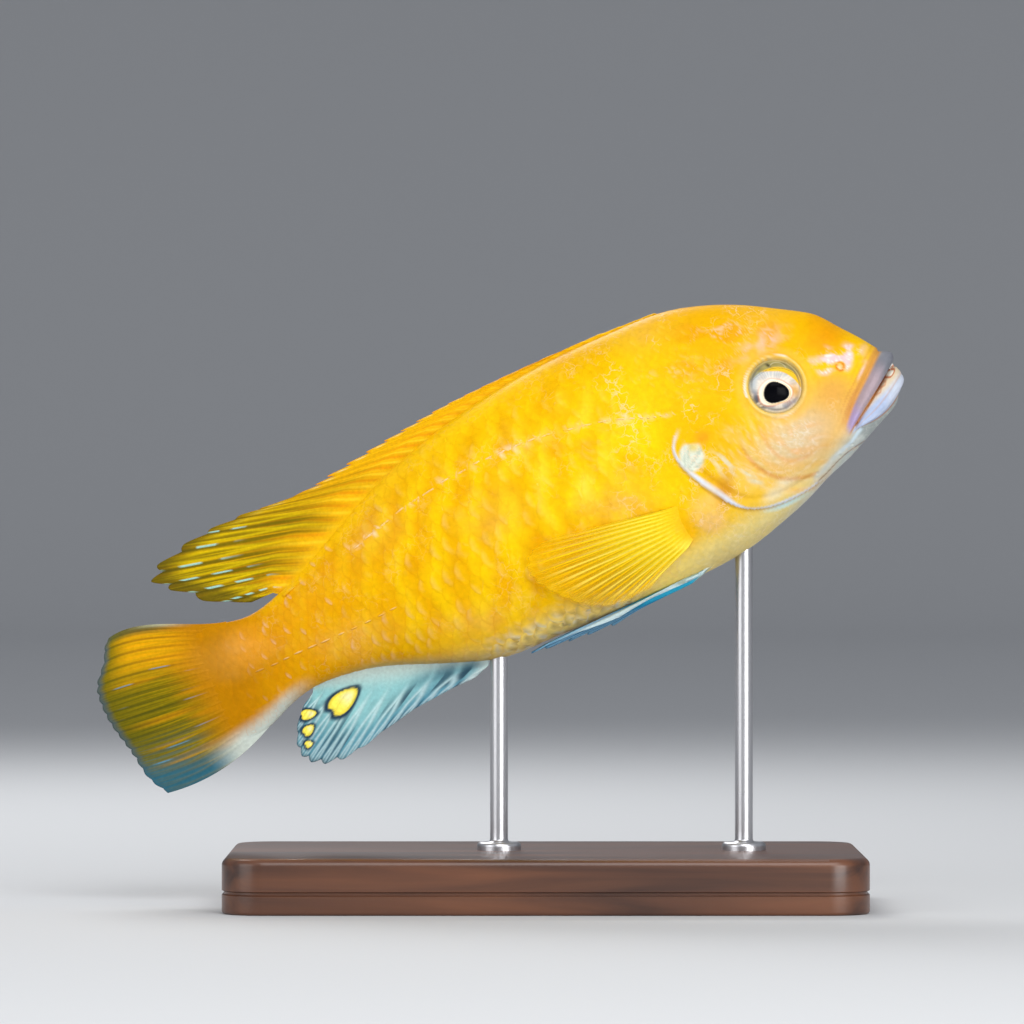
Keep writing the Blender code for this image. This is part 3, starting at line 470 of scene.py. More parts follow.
def paint_body(tint, a, h, waver, patchy, clouds):
    """The body from the gills back: lemon on the shoulder, orange behind, painted light on the dorsal
    fin's foot, painted shade and highlights on upright folds, white under the stem, and a pale rim,
    partly painted light, and grey specks along the belly."""
    up = height_share(a, h)
    # Lemon shoulder, orange behind it and along the nape, painted light on the dorsal fin's foot
    lay(tint, LEMON, 0.85 * blot(a, h, (42, 9), (26, 14), -8) + 0.25 * waver)
    lay(tint, (244, 212, 12), 0.6 * clouds * blot(a, h, (44, 3), (28, 15), -4))
    lay(tint, ORANGE, 0.35 * (1 - clouds) * patchy * ramp(a, 34, 48))
    lay(tint, ORANGE, 0.84 * ramp(a + 0.3 * h + 3 * waver, 62, 104)
        + 0.3 * ramp(up, 0.84, 1.0) * ramp(a, 12, 40) * fade(a, 44, 60))
    # Painted light along the dorsal fin's foot, lifting the shade of the crease between back and fin
    foot = ramp(up, 0.88, 0.97) * ramp(a, 42, 58) * fade(a, 94, 102)
    lay(tint, (255, 204, 16), 0.7 * foot)
    # Upright folds: orange painted shade in their valleys and lemon painted highlights on their tops
    fold = swell(a, h)
    lay(tint, ORANGE, 0.5 * np.clip(-fold, 0, 1) * (0.7 + 0.3 * waver))
    lay(tint, (246, 204, 6), 0.6 * np.clip(fold, 0, 1) * ramp(a, 50, 70))
    lay(tint, (250, 232, 84), 0.6 * np.clip(fold, 0, 1) * clouds * blot(a, h, (46, 6), (18, 15)))
    # Deep orange stem with a lit middle and a white underside, then the belly's pale rim (partly
    # painted light) and specks
    lay(tint, DEEP_ORANGE, 0.85 * ramp(a + 2 * waver, 94, 108))
    lay(tint, (240, 156, 0), 0.6 * blot(a, h, (102.5, 2.4), (6.0, 4.6), 0))
    lay(tint, (192, 204, 196), 0.95 * fade(up + 0.03 * waver, 0.03, 0.17) * ramp(a, 95, 102))
    # The belly's own pale rim, made lighter still as painted light against the shade of the underside
    rim = fade(up + 0.03 * waver, 0.03, 0.15)
    lay(tint, (255, 236, 140), 0.8 * rim * fade(a, 60, 84))
    lay(tint, BELLY_GREY, 0.7 * fade(up, 0.0, 0.07) * ramp(a, 42, 56) * fade(a, 84, 98))
    speck = fade(up, 0.05, 0.14) * ramp(a, 44, 50) * fade(a, 66, 76)
    lay(tint, (112, 98, 76),
        0.6 * speck * ramp(ripple(a * 3.1 + h, h * 4.7 - a * 1.3, a * 2.2 + h * 3.9), 0, 0.4))
    lay(tint, (212, 220, 216), 0.6 * speck * net(a, h, 0.9, 9.0))


def chin_share(a, h, waver):
    """1 on the throat and the chin, fading to 0 above them."""
    return fade(h + 0.62 * a + 0.5 * waver, 0.2, 4.2)


def paint_head(tint, a, h, fine, waver, patchy, clouds):
    """Breast, forehead, cheek, snout and throat, and the pale threads of nape and flank, of which
    fine is the share."""
    # Ground paints of breast, forehead and cheek
    breast = fade(h + 0.15 * a, -8.5, -2.5) * fade(a, 34, 44)
    lay(tint, (214, 196, 136), 0.85 * breast * ramp(a, 12, 20))
    forehead = ramp(h, 5, 12) * fade(a, 24, 38)
    lay(tint, (226, 160, 0), forehead * (0.55 + 0.42 * patchy))
    lay(tint, (222, 172, 4), 0.75 * blot(a, h, (30.0, 3.0), (10.0, 10.0)))
    lay(tint, PEACH, 0.92 * blot(a, h, (16.5, -2.5), (12.5, 8.0), -14))
    lay(tint, (216, 158, 72), 0.85 * blot(a, h, (10.5, 1.8), (4.6, 4.4)))
    lay(tint, (222, 142, 8), 0.75 * blot(a, h, (8.0, 9.5), (4.6, 4.2), -30))
    lay(tint, CREAM, 0.4 * blot(a, h, (19.5, -2.4), (8.5, 4.8), -10))
    lay(tint, CREAM, 0.22 * blot(a, h, (28.5, -4.5), (5.5, 3.6), -50) * (0.5 + 0.5 * patchy))
    lay(tint, (232, 226, 196), 0.5 * breast * clouds * net(a, h, 0.8, 8.0))
    # The lobe that carries the pectoral fin
    lobe = ramp(blot(a, h, (34.3, -7.2), (3.7, 4.3)) + 0.25 * waver, 0.0, 0.7)
    lay(tint, (232, 186, 120), lobe * (0.45 + 0.3 * patchy))
    lay(tint, (240, 172, 14), 0.7 * blot(a, h, (38.0, -7.6), (2.2, 3.4)))
    # Pale threads, thick where the spots are, and a faint crackle over the flank
    spots = blot(a, h, (31.0, 13.0), (7.0, 5.0)) + blot(a, h, (21.0, 15.0), (9.0, 5.5)) * 0.9
    spots = spots + blot(a, h, (25.5, 1.5), (4.0, 6.0)) * 0.3
    spots = spots + blot(a, h, (45.0, 4.0), (9.0, 12.0)) * 0.5
    spots = spots + blot(a, h, (54.0, -9.5), (20.0, 4.0), 2) * 0.6
    lines = net(a, h, 1.5, 3.0) * patchy + 0.8 * net(a, h, 0.8, 5.0) * (1 - patchy) * clouds
    lay(tint, (238, 212, 190), 0.6 * fine * np.clip(spots, 0, 1) * lines)
    crackle = (net(a, h + 0.3 * a, 2.3, 7.0)
               * ramp(ripple(a * 0.5, h * 0.8 - a * 0.2, a * 0.3 + h * 1.1), 0.1, 0.6))
    lay(tint, (240, 206, 100), 0.45 * fine * crackle * ramp(a, 36, 46) * fade(a, 92, 104))
    # Lilac tatters on the snout and over the eye
    snout = blot(a + 0.6 * np.sin(2.3 * h), h + 0.4 * np.sin(1.9 * a), (7.9, 5.9), (5.4, 2.3), 9)
    tatter = ramp(ripple(a * 2.3 + h, h * 3.1 - a * 0.8, a * 1.4 - h * 2.3), -0.35, 0.35)
    lay(tint, LILAC, np.clip(1.5 * snout * tatter, 0, 0.85))
    lay(tint, WHITE, 0.75 * ramp(snout, 0.1, 0.5) * net(a, h, 0.62, 4.0) * (0.3 + 0.7 * tatter))
    brow = blot(a, h, (17.4, 12.2), (6.2, 2.3), -6)
    lay(tint, LILAC, 0.55 * brow * np.clip(0.1 + 0.6 * tatter + 0.8 * lines, 0, 1))
    # Pale net of the cheek, an orange fleck by the gill cover's top, then throat and chin
    cheek = blot(a, h, (18.5, -3.0), (10.0, 6.5), -14)
    lay(tint, WHITE, 0.3 * cheek * net(a, h, 1.0, 1.0) * patchy)
    lay(tint, (228, 234, 228), 0.4 * blot(a, h, (18.6, -1.6), (6.0, 2.4), -8) * net(a, h, 0.7, 12.0))
    lay(tint, (244, 150, 30), 0.7 * blot(a, h, (30.6, 3.4), (1.9, 1.5)))
    chin = chin_share(a, h, waver)
    lay(tint, THROAT, 0.9 * chin * fade(a, 18, 32))
    lay(tint, (92, 106, 112), 0.78 * chin * fade(a, 7, 13))


def paint_lips(tint, a, h, chin):
    """Grey upper lip edged in lilac and orange, pale blue lower lip, a painted highlight along each
    lip, the mouth's line with its bead, and the orange fold above."""
    off = off_gape(a, h)
    _, _, top, high, low = lips(a, off)
    ahead = fade(a, 9.6, 11.0)
    beyond = off - top
    # Skin above and below the lips
    lay(tint, (204, 142, 78), 0.8 * ridge(beyond - 0.4, 1.5) * fade(a, 9.5, 12.5))
    streaks = ridge(np.sin(8.5 * beyond + np.sin(1.1 * a)) - 0.7, 0.8) * ridge(beyond - 1.3, 1.6)
    lay(tint, (190, 116, 60), 0.4 * streaks * fade(a, 10, 13))
    lay(tint, LILAC, 0.6 * ridge(beyond - 1.3, 0.35) * ridge(a - 5.6, 1.6))
    below = fade(a + 0.5 * h, 5.5, 9.5)
    lay(tint, (178, 184, 180), 0.6 * ramp(low, 0.98, 1.1) * below * (off < 0))
    lay(tint, WHITE, 0.25 * net(a, h, 0.7, 2.0) * chin * fade(a, 8, 16))
    # Upper lip
    lip = lay(primed(LIP_GREY, tint.shape), (120, 122, 130), fade(a, 2.0, 5.0))
    # A painted highlight along the upper lip's rounded middle
    lay(lip, (182, 160, 166), 0.5 * ridge(high - 0.5, 0.45) * ramp(a, 2, 5))
    lay(lip, (170, 152, 198), 0.8 * ramp(a, 7.5, 9.5))
    lay(lip, (206, 146, 66), 0.75 * fade(off, 0.12, 0.42) * ramp(a, 4, 6))
    lay(tint, lip, ramp(off, -0.12, 0.12) * fade(high, 0.9, 1.12) * fade(a, 10.3, 11.5))
    # Lower lip: a warm inner leaf and a pale blue outer one
    onto = ramp(low, 0.0, 0.06) * fade(low, 0.97, 1.04) * ahead
    inner = lay(primed((216, 198, 166), tint.shape), (212, 168, 110), ramp(a, 5, 9))
    leaf = lay(primed((192, 200, 214), tint.shape), LIP_BLUE, 0.6 * ramp(a, 2.5, 5.5))
    # A painted highlight along the lower lip's fold
    lay(leaf, (214, 218, 236), 0.4 * ridge(low - 0.66 + 0.04 * np.sin(2 * a), 0.12))
    lay(tint, lay(inner, leaf, ramp(low + 0.05 * a, 0.3, 0.58)), onto)
    lay(tint, (186, 120, 78), 0.75 * ridge(low - 1.02, 0.09) * ahead * ramp(a, 0.6, 1.6))
    lay(tint, (206, 150, 110), 0.35 * ridge(low - 0.4, 0.06) * ahead)
    # The mouth's line, its bead at the snout and the orange fringe below it
    slit = ridge(off, 0.22 + 0.1 * np.clip(1 - (a - SNOUT_A) / 6, 0, 1)) * fade(a, 9.0, 10.2)
    lay(tint, lay(primed((146, 66, 24), tint.shape), (196, 134, 70), ramp(a, 3, 6)), slit)
    bead = np.hypot((a - 1.75) / 0.6, (off + 0.26) / 0.24)
    lay(tint, WHITE, 0.7 * fade(bead, 0.5, 0.9))
    lay(tint, (176, 74, 14), 0.9 * ridge(bead - 1.05, 0.42))
    fringe = ridge(off + 0.3 + 0.08 * np.sin(6 * a), 0.16) * ramp(a, 2.6, 3.0) * fade(a, 4.6, 5.6)
    lay(tint, (186, 92, 26), 0.6 * fringe)


def paint_rims(tint, a, h):
    """The skin round the eye and the nostril, with pale arcs on the eye's rim."""
    eye = off_spot(a, h, EYE_A, EYE_H)
    lay(tint, (240, 184, 70), 0.5 * ridge(eye - 5.0, 1.2))
    lay(tint, (224, 204, 140), 0.6 * ridge(eye - 4.3, 0.25))
    round_eye = np.arctan2(h - EYE_H, EYE_A - a) - PITCH
    arcs = (ridge(round_eye - 2.45, 0.95) + 0.8 * ridge(round_eye - 0.55, 0.3)
            + 0.5 * ridge(round_eye + 2.1, 0.5))
    lay(tint, (246, 238, 234), 0.9 * np.clip(arcs, 0, 1) * ridge(eye - 4.5, 0.22))
    lay(tint, (190, 172, 120), 0.8 * fade(eye, 3.9, 4.2))
    hole = off_spot(a, h, NOSTRIL_A, NOSTRIL_H)
    lay(tint, (214, 116, 26), 0.9 * ridge(hole - 0.56, 0.24))
    lay(tint, (244, 222, 190), 0.8 * fade(hole, 0.22, 0.42))


def paint_cover(tint, a, h):
    """Cheek and gill cover: fibres along the cheek's edge, a marbled plate with a pale rim, the round
    ear patch, and the edge and sheen of the lower jaw."""
    near = (a > 8) & (a < 42) & (h < 10)
    a, h = a[near], h[near]
    if a.size == 0:
        return
    rear, way = off_line(a, h, COVER_REAR)
    front, share = off_line(a, h, COVER_FRONT)
    part = tint[near]
    stir = 1.6 * ripple(a * 0.3 + h * 0.12, h * 0.36 - a * 0.1, a * 0.2 + h * 0.27)
    some = ramp(ripple(a * 0.9 - h * 0.4, h * 1.2 + a * 0.5, a * 0.4 - h * 0.9), -0.3, 0.6)
    # Fibres along the cheek's edge and the grooves there
    beside = (ramp(front, -9.8, -6.0) * fade(front, 0.5, 4.0) * ramp(share, 0.15, 0.4)
              * ramp(a, 12.5, 16.5))
    band = ripple(2.3 * front + stir + 3 * share, 3.3 * front - stir - 12 * share,
                  1.2 * front + 14 * share)
    fibre = ripple(4.6 * front + stir + 26 * share, 6.1 * front + stir - 31 * share,
                   3.4 * front + 47 * share,
                   7.7 * front - 2 * stir + 58 * share)
    lay(part, CREAM, 0.26 * ramp(band, -0.4, 0.8) * beside)
    lay(part, (238, 160, 78), 0.42 * ramp(-band, -0.1, 0.8) * beside * (0.4 + 0.6 * some))
    lay(part, (236, 228, 214), 0.2 * ramp(fibre, 0.05, 0.7) * beside)
    groove = (ridge(front + 0.3 * np.sin(9 * share), 0.55)
              + 0.6 * ridge(front + 3.1 + 0.4 * np.sin(7 * share), 0.5))
    lay(part, (212, 128, 40), 0.5 * groove * ramp(share, 0.3, 0.5) * fade(share, 0.88, 1))
    # The gill cover's plate: an orange streak, a pale foot and marbling
    lay(part, (204, 140, 34), 0.75 * blot(a, h, (30.6, -4.6), (4.6, 1.9), -58))
    lay(part, (226, 224, 204), 0.9 * blot(a, h, (23.4, -7.7), (4.2, 1.4), -16) * (0.5 + 0.5 * some))
    marble = np.clip(blot(a, h, (29.3, -1.3), (3.6, 2.2), 62)
                     + blot(a, h, (26.4, -4.4), (3.2, 1.3), 66), 0, 1)
    flow = ripple(3.1 * rear + a, 1.3 * a + 4.0 * rear - h, 2.2 * h + 5.1 * rear)
    lay(part, (202, 212, 206),
        0.6 * marble * np.clip(ramp(flow, -0.2, 0.5) + 0.4 * net(a, h, 0.8, 6.0), 0, 1))
    lay(part, (206, 138, 16), 0.6 * ridge(rear + 1.7, 1.1) * ridge(way - 0.56, 0.26))
    # Its pale rim, the lit strip under the rim's lower end, and painted shade in the crack behind the
    # rim
    wide = 0.38 + 0.36 * ridge(way - 0.52, 0.22) + 0.05 * np.sin(23 * way)
    white = ridge(rear + wide - 0.2, wide) * ramp(way, 0.04, 0.16) * fade(way, 0.97, 1)
    lay(part, (214, 222, 238), 0.97 * white * (0.85 + 0.15 * np.sin(31 * way)))
    strip = ridge(rear - 0.5, 0.55) * ridge(way - 0.87, 0.1)
    lay(part, (196, 228, 228), 0.95 * strip)
    # Painted shade in the crack behind the gill cover's free edge
    lay(part, (176, 122, 62), 0.3 * ridge(rear - 0.3, 0.22) * ramp(way, 0.2, 0.4))
    # The round patch with rays from its rear edge
    spin = np.arctan2(h + 0.4, a - 34.9)
    uneven = 0.1 * ripple(11 * spin, 3 * a, 4 * h)
    ear = ramp(blot(a, h, (33.2, 1.5), (2.5, 2.8), 20) + uneven, 0.08, 0.4)
    rays = ramp(ripple(19 * spin + 0.7 * h, 31 * spin, 11 * spin - h), -0.4, 0.4)
    ear_tint = lay(primed((184, 198, 184), part.shape), (212, 220, 206), rays)
    lay(ear_tint, (214, 190, 70), 0.8 * blot(a, h, (32.3, 2.7), (1.3, 1.1)))
    lay(part, ear_tint, 0.92 * ear)
    # The lower jaw's edge and the sheen above it
    jaw, along_jaw = off_line(a, h, JAW_EDGE)
    ends = ramp(along_jaw, 0, 0.05) * fade(along_jaw, 0.85, 1.0)
    lay(part, (206, 212, 206), 0.75 * ridge(jaw - 0.65, 0.7) * ends)
    lay(part, (126, 84, 56), 0.7 * ridge(jaw, 0.16) * ends)
    shine, _ = off_line(a, h, ((9.2, -4.75), (11.2, -5.8), (13.4, -6.6), (16.0, -7.2)))
    lay(part, (204, 222, 232), 0.85 * ridge(shine, 0.5) * fade(a, 10.5, 16))
    tint[near] = part


def paint_side_line(tint, a, h, patchy):
    """A pale wandering band under the side line's upper run."""
    near = (a > 32) & (a < 85) & (h > 7) & (h < 15)
    a, h = a[near], h[near]
    if a.size == 0:
        return
    away, _ = off_line(a, h, UPPER_LINE)
    wander = 0.2 * np.sin(2.9 * a) + 0.14 * np.sin(6.7 * a)
    pale = 0.8 * ridge(away - wander, 0.32) * (0.55 + 0.45 * patchy[near])
    tint[near] = lay(tint[near], (242, 214, 180), pale)


def flesh_tint(a, h, fine=1.0):
    """Paint of skin and scales by place in side view, from the snout's greys to the gold flank."""
    a, h = np.broadcast_arrays(a, h)
    waver, patchy, clouds = slow_waves(a, h)
    tint = primed(GOLD, (*a.shape, 3))
    paint_body(tint, a, h, waver, patchy, clouds)
    paint_head(tint, a, h, fine, waver, patchy, clouds)
    paint_lips(tint, a, h, chin_share(a, h, waver))
    paint_rims(tint, a, h)
    paint_cover(tint, a, h)
    paint_side_line(tint, a, h, patchy)
    return tint


def mesh_piece(name, points, faces, material, tints=None, values=None):
    """A piece from placed points, with paint and other values kept on its vertices."""
    mesh = bpy.data.meshes.new(name)
    mesh.from_pydata(np.asarray(points).reshape(-1, 3), [], faces)
    mesh.shade_smooth()
    if tints is not None:
        layer = mesh.attributes.new("tint", "FLOAT_COLOR", "POINT")
        flat = np.ones((len(mesh.vertices), 4), np.float32)
        flat[:, :3] = np.clip(np.asarray(tints).reshape(-1, 3), 0, 1)
        layer.data.foreach_set("color", flat.ravel())
    for key, column in (values or {}).items():
        layer = mesh.attributes.new(key, "FLOAT", "POINT")
        layer.data.foreach_set("value", np.ascontiguousarray(column, np.float32).ravel())
    mesh.materials.append(material)
    obj = bpy.data.objects.new(name, mesh)
    bpy.context.scene.collection.objects.link(obj)
    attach(obj, "root")
    return obj


def grid_faces(rows, columns, closed=False, start=0):
    """Quads of a grid of rows by columns, closed round where asked."""
    r = np.arange(rows - 1)[:, None]
    c = np.arange(columns if closed else columns - 1)[None]
    d = (c + 1) % columns
    quad = np.stack(np.broadcast_arrays(r * columns + c, r * columns + d, (r + 1) * columns + d,
                                        (r + 1) * columns + c), axis=-1)
    return (quad.reshape(-1, 4) + start).tolist()


def grid_rim(rows, columns):
    """The points round a grid's edge: first row, last column, then back along the other two."""
    rim = list(range(columns)) + [r * columns + columns - 1 for r in range(1, rows)]
    rim += [(rows - 1) * columns + c for c in range(columns - 2, -1, -1)]
    return rim + [r * columns for r in range(rows - 2, 0, -1)]


def closed_tube(rows, columns):
    """Faces of a grid closed round, with a cap at each end."""
    caps = [tuple(range(columns))[::-1], tuple(range((rows - 1) * columns, rows * columns))]
    return grid_faces(rows, columns, True) + caps


def veined(a, h):
    """How far pale threads show: most on the nape and the shoulder, little on the flank and the
    cheek, none on the lips and the eye's rim."""
    eye = off_spot(a, h, EYE_A, EYE_H)
    calm = 1 - 0.78 * ramp(a, 36, 52) - 0.75 * blot(a, h, (19.0, -3.0), (13.0, 9.0), -14)
    return np.clip(calm, 0, 1) * ramp(a - 0.25 * h, 9.0, 12.0) * fade(a, 96, 107) * ramp(eye, 5.2, 6.5)


# The skin's rings have this many points on the head, and half as many behind this station
HEAD_COLUMNS = 280
HEAD_TO = 38.0


def skin_stations():
    """Stations of the skin's rings: closest at the lips, then even over the head and the trunk."""
    stations = [SNOUT_A + 0.004]
    while stations[-1] < FLESH_END:
        a = stations[-1]
        if a < HEAD_TO:
            stations.append(min(a + min(0.03 + 0.09 * (a - SNOUT_A), 0.17), HEAD_TO))
        else:
            stations.append(min(a + (0.34 if a < 99 else 0.24), FLESH_END))
    return np.array(stations)


def skin_surface(stations, columns):
    """Rings of the skin: the plain body moved along its normal by the relief."""
    a = stations[:, None]
    turn = np.linspace(0, 2 * math.pi, columns, endpoint=False)[None]
    points = body(a, turn)
    out = relief(points[..., 0], points[..., 2])
    moved = points + body_normal(a, turn) * out[..., None]
    return moved, flesh_tint(points[..., 0], points[..., 2]), veined(points[..., 0], points[..., 2])


def build_skin(material):
    """One closed skin over head, jaws, gill covers, trunk and tail stem: finer rings and columns
    on the head, joined two to one where the trunk begins."""
    stations = skin_stations()
    head = stations[stations <= HEAD_TO + 1e-9]
    trunk = stations[stations > HEAD_TO + 1e-9]
    half = HEAD_COLUMNS // 2
    fore, fore_tint, fore_vein = skin_surface(head, HEAD_COLUMNS)
    rear, rear_tint, rear_vein = skin_surface(trunk, half)
    faces = grid_faces(len(head), HEAD_COLUMNS, True)
    start = len(head) * HEAD_COLUMNS
    faces += grid_faces(len(trunk), half, True, start)
    last = start - HEAD_COLUMNS
    for j in range(half):
        faces.append((last + 2 * j, last + 2 * j + 1, last + (2 * j + 2) % HEAD_COLUMNS,
                      start + (j + 1) % half, start + j))
    end = start + (len(trunk) - 1) * half
    faces.append(tuple(range(HEAD_COLUMNS))[::-1])
    faces.append(tuple(range(end, end + half)))
    points = np.concatenate([place(fore).reshape(-1, 3), place(rear).reshape(-1, 3)])
    tints = np.concatenate([fore_tint.reshape(-1, 3), rear_tint.reshape(-1, 3)])
    veins = np.concatenate([fore_vein.ravel(), rear_vein.ravel()])
    skin = mesh_piece("skin", points, faces, material, tints, {"vein": veins})
    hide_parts("head", "upper_jaw", "lower_jaw", "gill_cover_left", "gill_cover_right",
                "trunk", "tail_stem")
    return skin


# The unrolled flank: its half-width, its steps along the fish and round it, and the points of
# each section that it is measured on
SHEET_HALF = 34.0
SHEET_ALONG, SHEET_STEP = 0.5, 0.25
SHEET_TURNS = 361


def unroll():
    """The left flank unrolled: at each station, points at even distances s along the section,
    above and below its widest line, with the normal there and how far the section reaches."""
    stations = np.arange(3.0, FLESH_END, SHEET_ALONG)
    turn = np.linspace(0, math.pi, SHEET_TURNS)
    reach = np.arange(-SHEET_HALF, SHEET_HALF + 0.01, SHEET_STEP)
    points = body(stations[:, None], turn[None])
    normals = body_normal(stations[:, None], turn[None])
    steps = np.linalg.norm(np.diff(points, axis=1), axis=-1)
    walked = np.concatenate([np.zeros((len(stations), 1)), np.cumsum(steps, axis=1)], axis=1)
    up = walked[:, SHEET_TURNS // 2, None] - walked
    rows, ends = [], []
    for k in range(len(stations)):
        order = up[k][::-1]
        rows.append([np.interp(reach, order, column[::-1])
                     for column in (*points[k].T[1:], *normals[k].T)])
        ends.append((order[0], order[-1]))
    return stations, np.moveaxis(np.array(rows), 1, -1), np.array(ends)


SHEET_A, SHEET, SHEET_ENDS = unroll()


def on_flank(a, s):
    """Point and normal on the left flank at a station and a distance round it, by blending the
    four nearest points of the unrolled sheet."""
    i = np.clip((a - SHEET_A[0]) / SHEET_ALONG, 0, len(SHEET_A) - 1.001)
    j = np.clip((s + SHEET_HALF) / SHEET_STEP, 0, SHEET.shape[1] - 1.001)
    i0, j0 = i.astype(int), j.astype(int)
    u, v = (i - i0)[..., None], (j - j0)[..., None]
    found = (SHEET[i0, j0] * (1 - u) * (1 - v) + SHEET[i0 + 1, j0] * u * (1 - v)
             + SHEET[i0, j0 + 1] * (1 - u) * v + SHEET[i0 + 1, j0 + 1] * u * v)
    point = np.concatenate([a[..., None], found[..., :2]], axis=-1)
    normal = found[..., 2:]
    return point, normal / np.linalg.norm(normal, axis=-1, keepdims=True)


# Scales to each side of a row's middle, then each scale's own grid, from root to edge and from
# lower to upper side, and the size of its patch in the bake's square
SCALES_EACH_WAY = 22
SCALE_X = (0.0, 0.42, 0.68, 0.88, 1.0)
SCALE_V = (-1.0, -0.72, -0.27, 0.27, 0.72, 1.0)
BAKE_PATCH = 0.003


def lattice(pitch, row, first, last, shrink):
    """Places of scales in rows round the flank, each row half a scale behind the next. Towards
    the tail both pitches shrink with the body."""
    a, places = first, []
    k = 0
    while a < last:
        small = 1 - shrink * ramp(np.array(a), 60, 105)
        j = np.arange(-SCALES_EACH_WAY, SCALES_EACH_WAY + 1)
        s = (j + 0.5 * (k % 2)) * 2 * row * small
        mark = j * 7.0 + k
        stray = hashed(mark, 31.0) - 0.5, hashed(mark, 32.0) - 0.5, hashed(mark, 33.0) - 0.5
        places.append(np.c_[a + 0.26 * pitch * stray[0] * small, s + 0.2 * row * stray[1] * small,
                            small * (1 + 0.1 * stray[2]), mark])
        a += pitch * float(small) / 2
        k += 1
    return np.concatenate(places)


def scale_coat(name, side, places, pitch, row, material):
    """Many scales as one mesh. Each is a grid over its length x and height v, with a rounded rear
    edge, lifting off the skin from its buried root to its free edge, and closed underneath."""
    rows, columns, count = len(SCALE_X), len(SCALE_V), len(places)
    x, v = np.array(SCALE_X)[:, None], np.array(SCALE_V)[None]
    reach = x * (1 - 0.25 * v ** 2)
    small = places[:, 2, None, None]
    a = places[:, 0, None, None] + pitch * 1.7 * small * (reach - 0.5)
    s = places[:, 1, None, None] + row * 0.86 * small * v * (0.82 + 0.18 * np.sin(2.6 * x))
    point, normal = on_flank(a, s)
    stray = places[:, 3, None, None]
    lift = np.interp(reach, (0.0, 0.45, 0.86, 1.0),
                     (-0.05, 0.35 * SCALE_LIFT, SCALE_LIFT, 0.35 * SCALE_LIFT))
    lift = lift - 0.05 * v ** 4 + 0.035 * (hashed(stray) - 0.5) * x
    lift = (lift * small * (0.5 + 0.5 * ramp(a, 52, 76)) * (1 - 0.7 * ramp(a, 101, 108))
            + relief(point[..., 0], point[..., 2]))
    top = point + normal * lift[..., None]
    # Each scale's upper points, then a skirt of its rim's points sunk into the skin
    rim = grid_rim(rows, columns)
    first, ring = rows * columns, len(rim)
    flat_top, flat_normal = top.reshape(count, first, 3), normal.reshape(count, first, 3)
    skirt = flat_top[:, rim] - flat_normal[:, rim] * (0.13 + 0.05 * small)
    points = np.concatenate([flat_top, skirt], axis=1)
    order = 1 if side > 0 else -1
    quads = [f[::-order] for f in grid_faces(rows, columns)]
    for k in range(ring):
        after = (k + 1) % ring
        quads.append((rim[k], first + k, first + after, rim[after])[::-order])
    under_face = tuple(first + k for k in range(ring))[::order]
    shift = (first + ring) * np.arange(count)[:, None]
    faces = (np.array(quads)[None] + shift[..., None]).reshape(-1, 4).tolist()
    faces += (np.array(under_face)[None] + shift).tolist()
    flat_tint = scale_tint(point, x, v, stray).reshape(count, first, 3)
    tints = np.concatenate([flat_tint, flat_tint[:, rim]], axis=1)
    vein = veined(points[..., 0], points[..., 2])
    placed = place(on_side(points, side))
    coat = mesh_piece(name, placed, faces, material, tints, {"vein": vein})
    coat.data.set_sharp_from_angle(angle=math.radians(35))
    # A small patch of the bake's square for each scale, by its place on the fish
    patch = np.stack(np.broadcast_arrays(x - 0.5, v * 0.5), axis=-1).reshape(-1, 2) * BAKE_PATCH
    patch = np.concatenate([patch, patch[rim]])
    root = np.c_[0.02 + 0.96 * places[:, 0] / FLESH_END, 0.5 + side * 0.25 + places[:, 1] / 160]
    bake = (root[:, None] + patch[None]).reshape(-1, 2)
    layer = coat.data.uv_layers.new(name="OFBake")
    corners = np.empty(len(coat.data.loops), np.int32)
    coat.data.loops.foreach_get("vertex_index", corners)
    layer.data.foreach_set("uv", bake[corners].astype(np.float32).ravel())
    return coat


def scale_tint(point, x, v, stray):
    """Paint of scales: the skin's, with orange painted shade at the root and the sides where the
    neighbours overlap, a painted highlight and a painted shadow line at the free edge, and pale to
    pinkish flecks there, more on some scales than on others."""
    a = point[..., 0]
    tint = flesh_tint(a, point[..., 2], 0.45)
    some = hashed(stray, 1.0)
    rear = ramp(a, 40, 80)
    shade = fade(x, 0.4, 0.85) + 0.25 * v ** 2
    # Orange painted shade at the root, a lemon painted highlight before the free edge, a painted shadow
    # line on it
    lay(tint, ORANGE, (0.06 + 0.2 * some) * shade * ramp(a, 34, 46))
    edge_highlight = ridge(x - 0.8, 0.3) * fade(a, 94, 106)
    lay(tint, (250, 208, 20), edge_highlight * (0.04 + 0.14 * ramp(some, 0.4, 1.0)))
    lay(tint, (206, 122, 0), ramp(x, 0.9, 1.0) * (0.05 + 0.16 * rear) * ramp(a, 34, 46))
    # A pale fleck at some scales' edges
    fleck = ridge(x - 0.86, 0.15) * ridge(v - 1.2 * (hashed(stray, 2.0) - 0.5), 0.8)
    fleck = fleck * ramp(hashed(stray, 3.0), 0.6, 0.85)
    mark = lay(primed((250, 220, 140), tint.shape), (224, 184, 156), rear)
    lay(tint, mark, (0.1 + 0.1 * rear + 0.3 * ramp(a, 76, 90)) * fleck * fade(a, 100, 107))
    return tint * (0.975 + 0.05 * hashed(stray, 4.0))[..., None]


